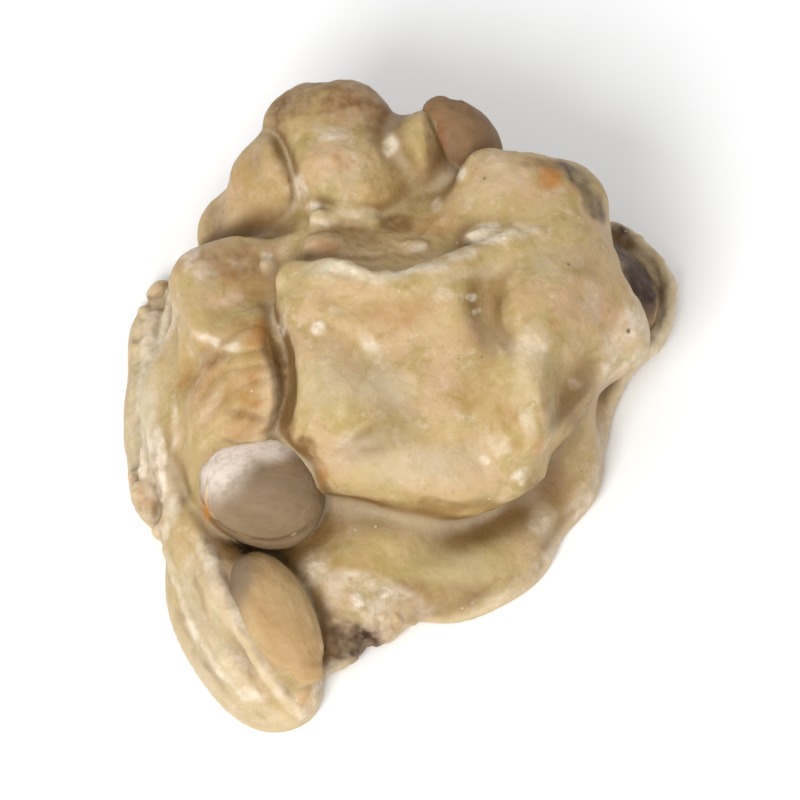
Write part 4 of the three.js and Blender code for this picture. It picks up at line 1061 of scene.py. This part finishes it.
def kernel_material(name, main, light, deep, gloss):
    """Roasted skin: long soft flecks, a darker seam, greyer and redder places, and a film of chocolate."""
    s = Shader(name)
    along = s.node("ShaderNodeAttribute", attribute_name="along").outputs["Vector"]
    patches = s.noise(3.0, 3.0, 0.55, 0.4, along)
    fine = s.noise(0.8, 4.0, 0.6, 0.0, along)
    film = s.noise(0.9, 5.0, 0.65)
    colour = s.mix(s.curve(patches, 0.32, 0.7), main, light)
    colour = s.mix(s.curve(fine, 0.45, 0.8, 0.0, 0.35), colour, deep)
    colour = s.mix(s.math("MULTIPLY", s.tone("seam"), 0.7), colour, deep)
    colour = s.mix(s.tone("grey"), colour, KERNEL_GREY)
    colour = s.mix(s.tone("red"), colour, KERNEL_RED)
    filmed = s.math("MULTIPLY", s.tone("film"), s.curve(film, 0.28, 0.55, 0.55, 1.0))
    colour = s.mix(filmed, colour, KERNEL_FILM)
    s.link(colour, s.bsdf.inputs["Base Color"])
    s.link(s.curve(fine, 0.3, 0.7, gloss, gloss + 0.15), s.bsdf.inputs["Roughness"])
    s.set(
        Subsurface_Weight=0.2,
        Subsurface_Radius=(1.0, 0.5, 0.25),
        Subsurface_Scale=SCATTER,
        Specular_IOR_Level=SHINE,
    )
    s.bump((s.noise(1.0, 3.0, 0.55, 0.0, along), 0.08), (s.noise(0.3, 3.0, 0.6, 0.0, along), 0.035))
    return s.material


# ---------------------------------------------------------------- the bare kernels
POINT_STEPS = 1e6  # points of the cube that fall on the same step are one point


def cube_ball(n):
    """A ball of four-sided faces, as a blown-up cube: directions and faces."""
    step = np.tan(np.linspace(-math.pi / 4, math.pi / 4, n + 1))
    u, v = np.meshgrid(step, step, indexing="ij")
    one = np.ones_like(u)
    sides = [(one, u, v), (-one, v, u), (v, one, u), (u, -one, v), (u, v, one), (v, u, -one)]
    points = np.concatenate([np.stack(s, -1).reshape(-1, 3) for s in sides])
    i, j = np.meshgrid(np.arange(n), np.arange(n), indexing="ij")
    first = (i * (n + 1) + j).ravel()
    quad = np.stack([first, first + n + 1, first + n + 2, first + 1], -1)
    quads = np.concatenate([quad + k * (n + 1) ** 2 for k in range(6)])
    key = np.round(points * POINT_STEPS).astype(np.int64)
    _, index, back = np.unique(key, axis=0, return_index=True, return_inverse=True)
    points = points[index]
    return points / np.sqrt((points**2).sum(-1, keepdims=True)), back.reshape(-1)[quads]


SEAM_DEEP, SEAM_WIDTH = 0.16, 0.34
LONG_DENTS = ((0.13, 2.6, (2.2, 1, 1)), (0.06, 1.1, (1.8, 1, 1)))  # height, lump size and how it is drawn out
WRINKLES = (0.022, 0.5)  # height and lump size
TIP_NUB, TIP_START = 0.35, 0.86  # the nub's height on a kernel of 4 mm half width, and where it starts
NECK_DEEP, NECK_AT, NECK_HALF = 0.12, 0.8, 0.1  # the dent round the kernel at the foot of the nub
# the split kernel's face: how softly the skin gives way to it, the most that the skin stands out, and the
# height and size of the face's grain
FACE_EDGE, FACE_LIFT, FACE_GRAIN = 0.02, 0.03, (0.03, 0.7)
GROOVE_DEEP, GROOVE_WIDTH, GROOVE_LENGTH = 0.42, 0.75, 0.86
DISH_DEEP = 0.25
GERM_DEEP, GERM_AT, GERM_LONG, GERM_HIGH = 0.5, 0.72, 0.8, 0.6
ALONG = np.array([0.4, 1.0, 1.0]) * MM  # the skin's flecks are drawn out along a kernel
KERNEL_SLACK, CHOCOLATE_SLACK = 0.8, 1.6  # over how many millimetres a piece is drawn in at its box


def split_face(local, t, length, width, seed):
    """The hollows of a split kernel's flat face: how deep they are, and how strong its dark seam is."""
    x, z = local[:, 0], local[:, 2]
    groove = GROOVE_DEEP * np.exp(-((z / GROOVE_WIDTH) ** 2)) * ramp(1 - np.abs(t) / GROOVE_LENGTH, 0.0, 0.3)
    dish = DISH_DEEP * ramp(1 - np.hypot(x / length, z / width), 0.08, 0.5)
    germ = GERM_DEEP * np.exp(-(((x - GERM_AT * length) / GERM_LONG) ** 2) - (z / GERM_HIGH) ** 2)
    deep = groove + dish + germ + FACE_GRAIN[0] * rough(local, FACE_GRAIN[1], seed)
    return np.maximum(deep, 0), np.clip(groove * 1.6 + germ, 0, 1)


def kernel_piece(name, material, seed, marks):
    at, (length, width), turn = KERNELS[name]
    ways, quads = cube_ball(KERNEL_NET)
    t = ways[:, 0]
    ring = np.sqrt(ways[:, 1] ** 2 + ways[:, 2] ** 2)
    fat = width * kernel_profile(t) / np.maximum(ring, 1e-9)
    local = np.stack([t * length, ways[:, 1] * fat, ways[:, 2] * fat], -1)
    local[ring < 1e-6, 1:] = 0
    n = normals_of(local, quads)
    # the seam between the two halves, long shallow dents, fine wrinkles, the nub at the tip and its neck
    seam = np.exp(-((local[:, 2] / SEAM_WIDTH) ** 2)) * ramp(1 - np.abs(t), 0.0, 0.25)
    lift = -SEAM_DEEP * seam
    for step, (high, size, stretch) in enumerate(LONG_DENTS):
        lift = lift + high * noise(local, size, seed + step, stretch)
    lift = lift + WRINKLES[0] * rough(local, WRINKLES[1], seed + 2)
    neck = spot(t[:, None] * (1, 0, 0), (NECK_AT, 0, 0), (NECK_HALF, 1, 1), 0.5)
    lift = lift + TIP_NUB * ramp(t, TIP_START, 1.0) * (width / 4) - NECK_DEEP * neck
    if name == "kernel_split":
        face = -SPLIT_AT * width
        flat = ramp(face - local[:, 1], -FACE_EDGE, FACE_EDGE)
        local = local + n * (np.minimum(lift, FACE_LIFT) * (1 - flat))[:, None]
        local[:, 1] = np.maximum(local[:, 1], face)
        deep, dark = split_face(local, t, length, width, seed + 5)
        local[:, 1] += np.where(flat > 0.5, deep, 0)
        seam = np.where(flat > 0.5, dark, 0)
    else:
        local = local + n * lift[:, None]
    points = local @ axes(turn).T + np.array(at)
    low, high = (np.array(corner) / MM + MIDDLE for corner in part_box(name))
    points = within(points, low, high, KERNEL_SLACK)
    tones = {"seam": seam, "along": local * ALONG + seed * MM}
    for mark in ("film", "grey", "red"):
        tones[mark] = np.zeros(len(points))
        for place in marks.get(mark, ()):
            tones[mark] = np.maximum(tones[mark], spot(ragged(points, seed + 7), *place))
    piece = made(name + "_skin", points, quads, tones, material)
    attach(piece, "root")
    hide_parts(name)


BASE_THICK = 0.02  # vertices below this height that look down are the flat underside
BOX_MARGIN = 0.01  # how far the chocolate stays inside the CAD's box


def chocolate_piece():
    points, quads = chocolate_net()
    n = normals_of(points, quads)
    tone = tones_of(points, n)
    lift = relieved(points, tone)
    base = (points[:, 2] < BASE_THICK) & (n[:, 2] < -0.9)
    points = points + n * lift[:, None]
    points[base, 2] = underside(points[base])
    points[:, 2] = np.maximum(points[:, 2], 0)
    low, high = (np.array(corner) / MM + MIDDLE for corner in (CAD_LOW, CAD_HIGH))
    points = within(points, low + (BOX_MARGIN, BOX_MARGIN, 0), high - BOX_MARGIN, CHOCOLATE_SLACK)
    piece = made("chocolate_coat", points, quads, tone, chocolate_material())
    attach(piece, "root")
    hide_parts("chocolate")


# the kernels' skins: main, light and deep colour
GREY_TAN = (linear(120, 100, 74), linear(134, 112, 84), linear(94, 74, 50))
ORANGE_TAN = (linear(170, 138, 94), linear(188, 162, 120), linear(130, 98, 60))
DEEP_BROWN = (linear(122, 92, 62), linear(136, 106, 74), linear(90, 64, 42))

# each kernel's skin, least roughness, seed, and its places with a film or another tone: middle, half sizes
# and how softly they end
SKINS = {
    "kernel_round": (GREY_TAN, 0.5, 61, {
        "film": (
            ((-12.4, -10.2, 8.8), (2.3, 2.6, 2.8), 0.5),
            ((-9.8, -9.0, 10.4), (3.0, 1.6, 1.8), 0.6),
            ((-6.8, -9.2, 9.4), (1.8, 1.0, 1.6), 0.6),
        ),
        "red": (((-13.8, -12.4, 5.6), (1.0, 1.4, 1.8), 0.5), ((-5.4, -11.2, 8.8), (0.5, 1.4, 1.6), 0.5)),
    }),
    "kernel_long": (ORANGE_TAN, 0.45, 71, {"grey": (((-11.8, -17.0, 4.6), (1.9, 3.4, 2.4), 0.5),)}),
    "kernel_crown": (DEEP_BROWN, 0.5, 81, {"red": (((2.4, 13.4, 13.8), (0.8, 2.0, 2.0), 0.5),)}),
    "kernel_back": (ORANGE_TAN, 0.48, 91, {}),
    "kernel_split": (ORANGE_TAN, 0.5, 101, {}),
}

chocolate_piece()
for name, (skin, gloss, seed, marks) in SKINS.items():
    kernel_piece(name, kernel_material(name.replace("kernel", "peanut"), *skin, gloss), seed, marks)


# ---------------------------------------------------------------- floor, light and camera
FLOOR_GREY, FLOOR_ROUGH = 0.93, 0.7
FLOOR_REACH = 1.5  # metres from the middle to each side
FLOOR_DROP = 0.00002  # below the cluster's underside, so that the two don't flicker
SKY = 0.74
KEY_PLACE = Vector((-0.15, -0.36, 0.33))
KEY_SIZE, KEY_POWER = 0.22, 2.1
CAMERA_FAR = 0.45  # from what it looks at
CAMERA_AIM = Vector((0.0, -0.004, 0.007)) - Vector(MIDDLE * MM)
CAMERA_PLACE = CAMERA_AIM + CAMERA_FAR * Vector((0, -math.cos(FRONT_VIEW), math.sin(FRONT_VIEW)))
FRAME_WIDTH = 57.14 * MM  # of the view, at the object
SENSOR = 36


def aimed(thing, place, aim):
    """Stands a lamp or a camera at a place, turned to what it is aimed at."""
    thing.location = place
    thing.rotation_euler = (aim - place).to_track_quat("-Z", "Y").to_euler()


scene = bpy.context.scene
scene.view_settings.view_transform = "Standard"

floor_material = bpy.data.materials.new("floor")
floor_material.use_nodes = True
floor_shader = floor_material.node_tree.nodes["Principled BSDF"]
floor_shader.inputs["Base Color"].default_value = (FLOOR_GREY, FLOOR_GREY, FLOOR_GREY, 1)
floor_shader.inputs["Roughness"].default_value = FLOOR_ROUGH
floor_mesh = bpy.data.meshes.new("floor")
corners = [(x * FLOOR_REACH, y * FLOOR_REACH, 0) for x, y in ((-1, -1), (1, -1), (1, 1), (-1, 1))]
floor_mesh.from_pydata(corners, [], [(0, 1, 2, 3)])
floor_mesh.materials.append(floor_material)
floor = added("floor", floor_mesh)
floor.location.z = -FLOOR_DROP

world = bpy.data.worlds.new("studio")
scene.world = world
world.use_nodes = True
world.node_tree.nodes["Background"].inputs["Color"].default_value = (1.0, 1.0, 1.0, 1)
world.node_tree.nodes["Background"].inputs["Strength"].default_value = SKY

key = bpy.data.lights.new("key", "AREA")
key.size = KEY_SIZE
key.energy = KEY_POWER
aimed(added("key", key), KEY_PLACE, Vector((0, 0, 0)))

camera = bpy.data.cameras.new("camera")
camera.sensor_width = SENSOR
camera.lens = SENSOR * CAMERA_FAR / FRAME_WIDTH
scene.camera = added("camera", camera)
aimed(scene.camera, CAMERA_PLACE, CAMERA_AIM)
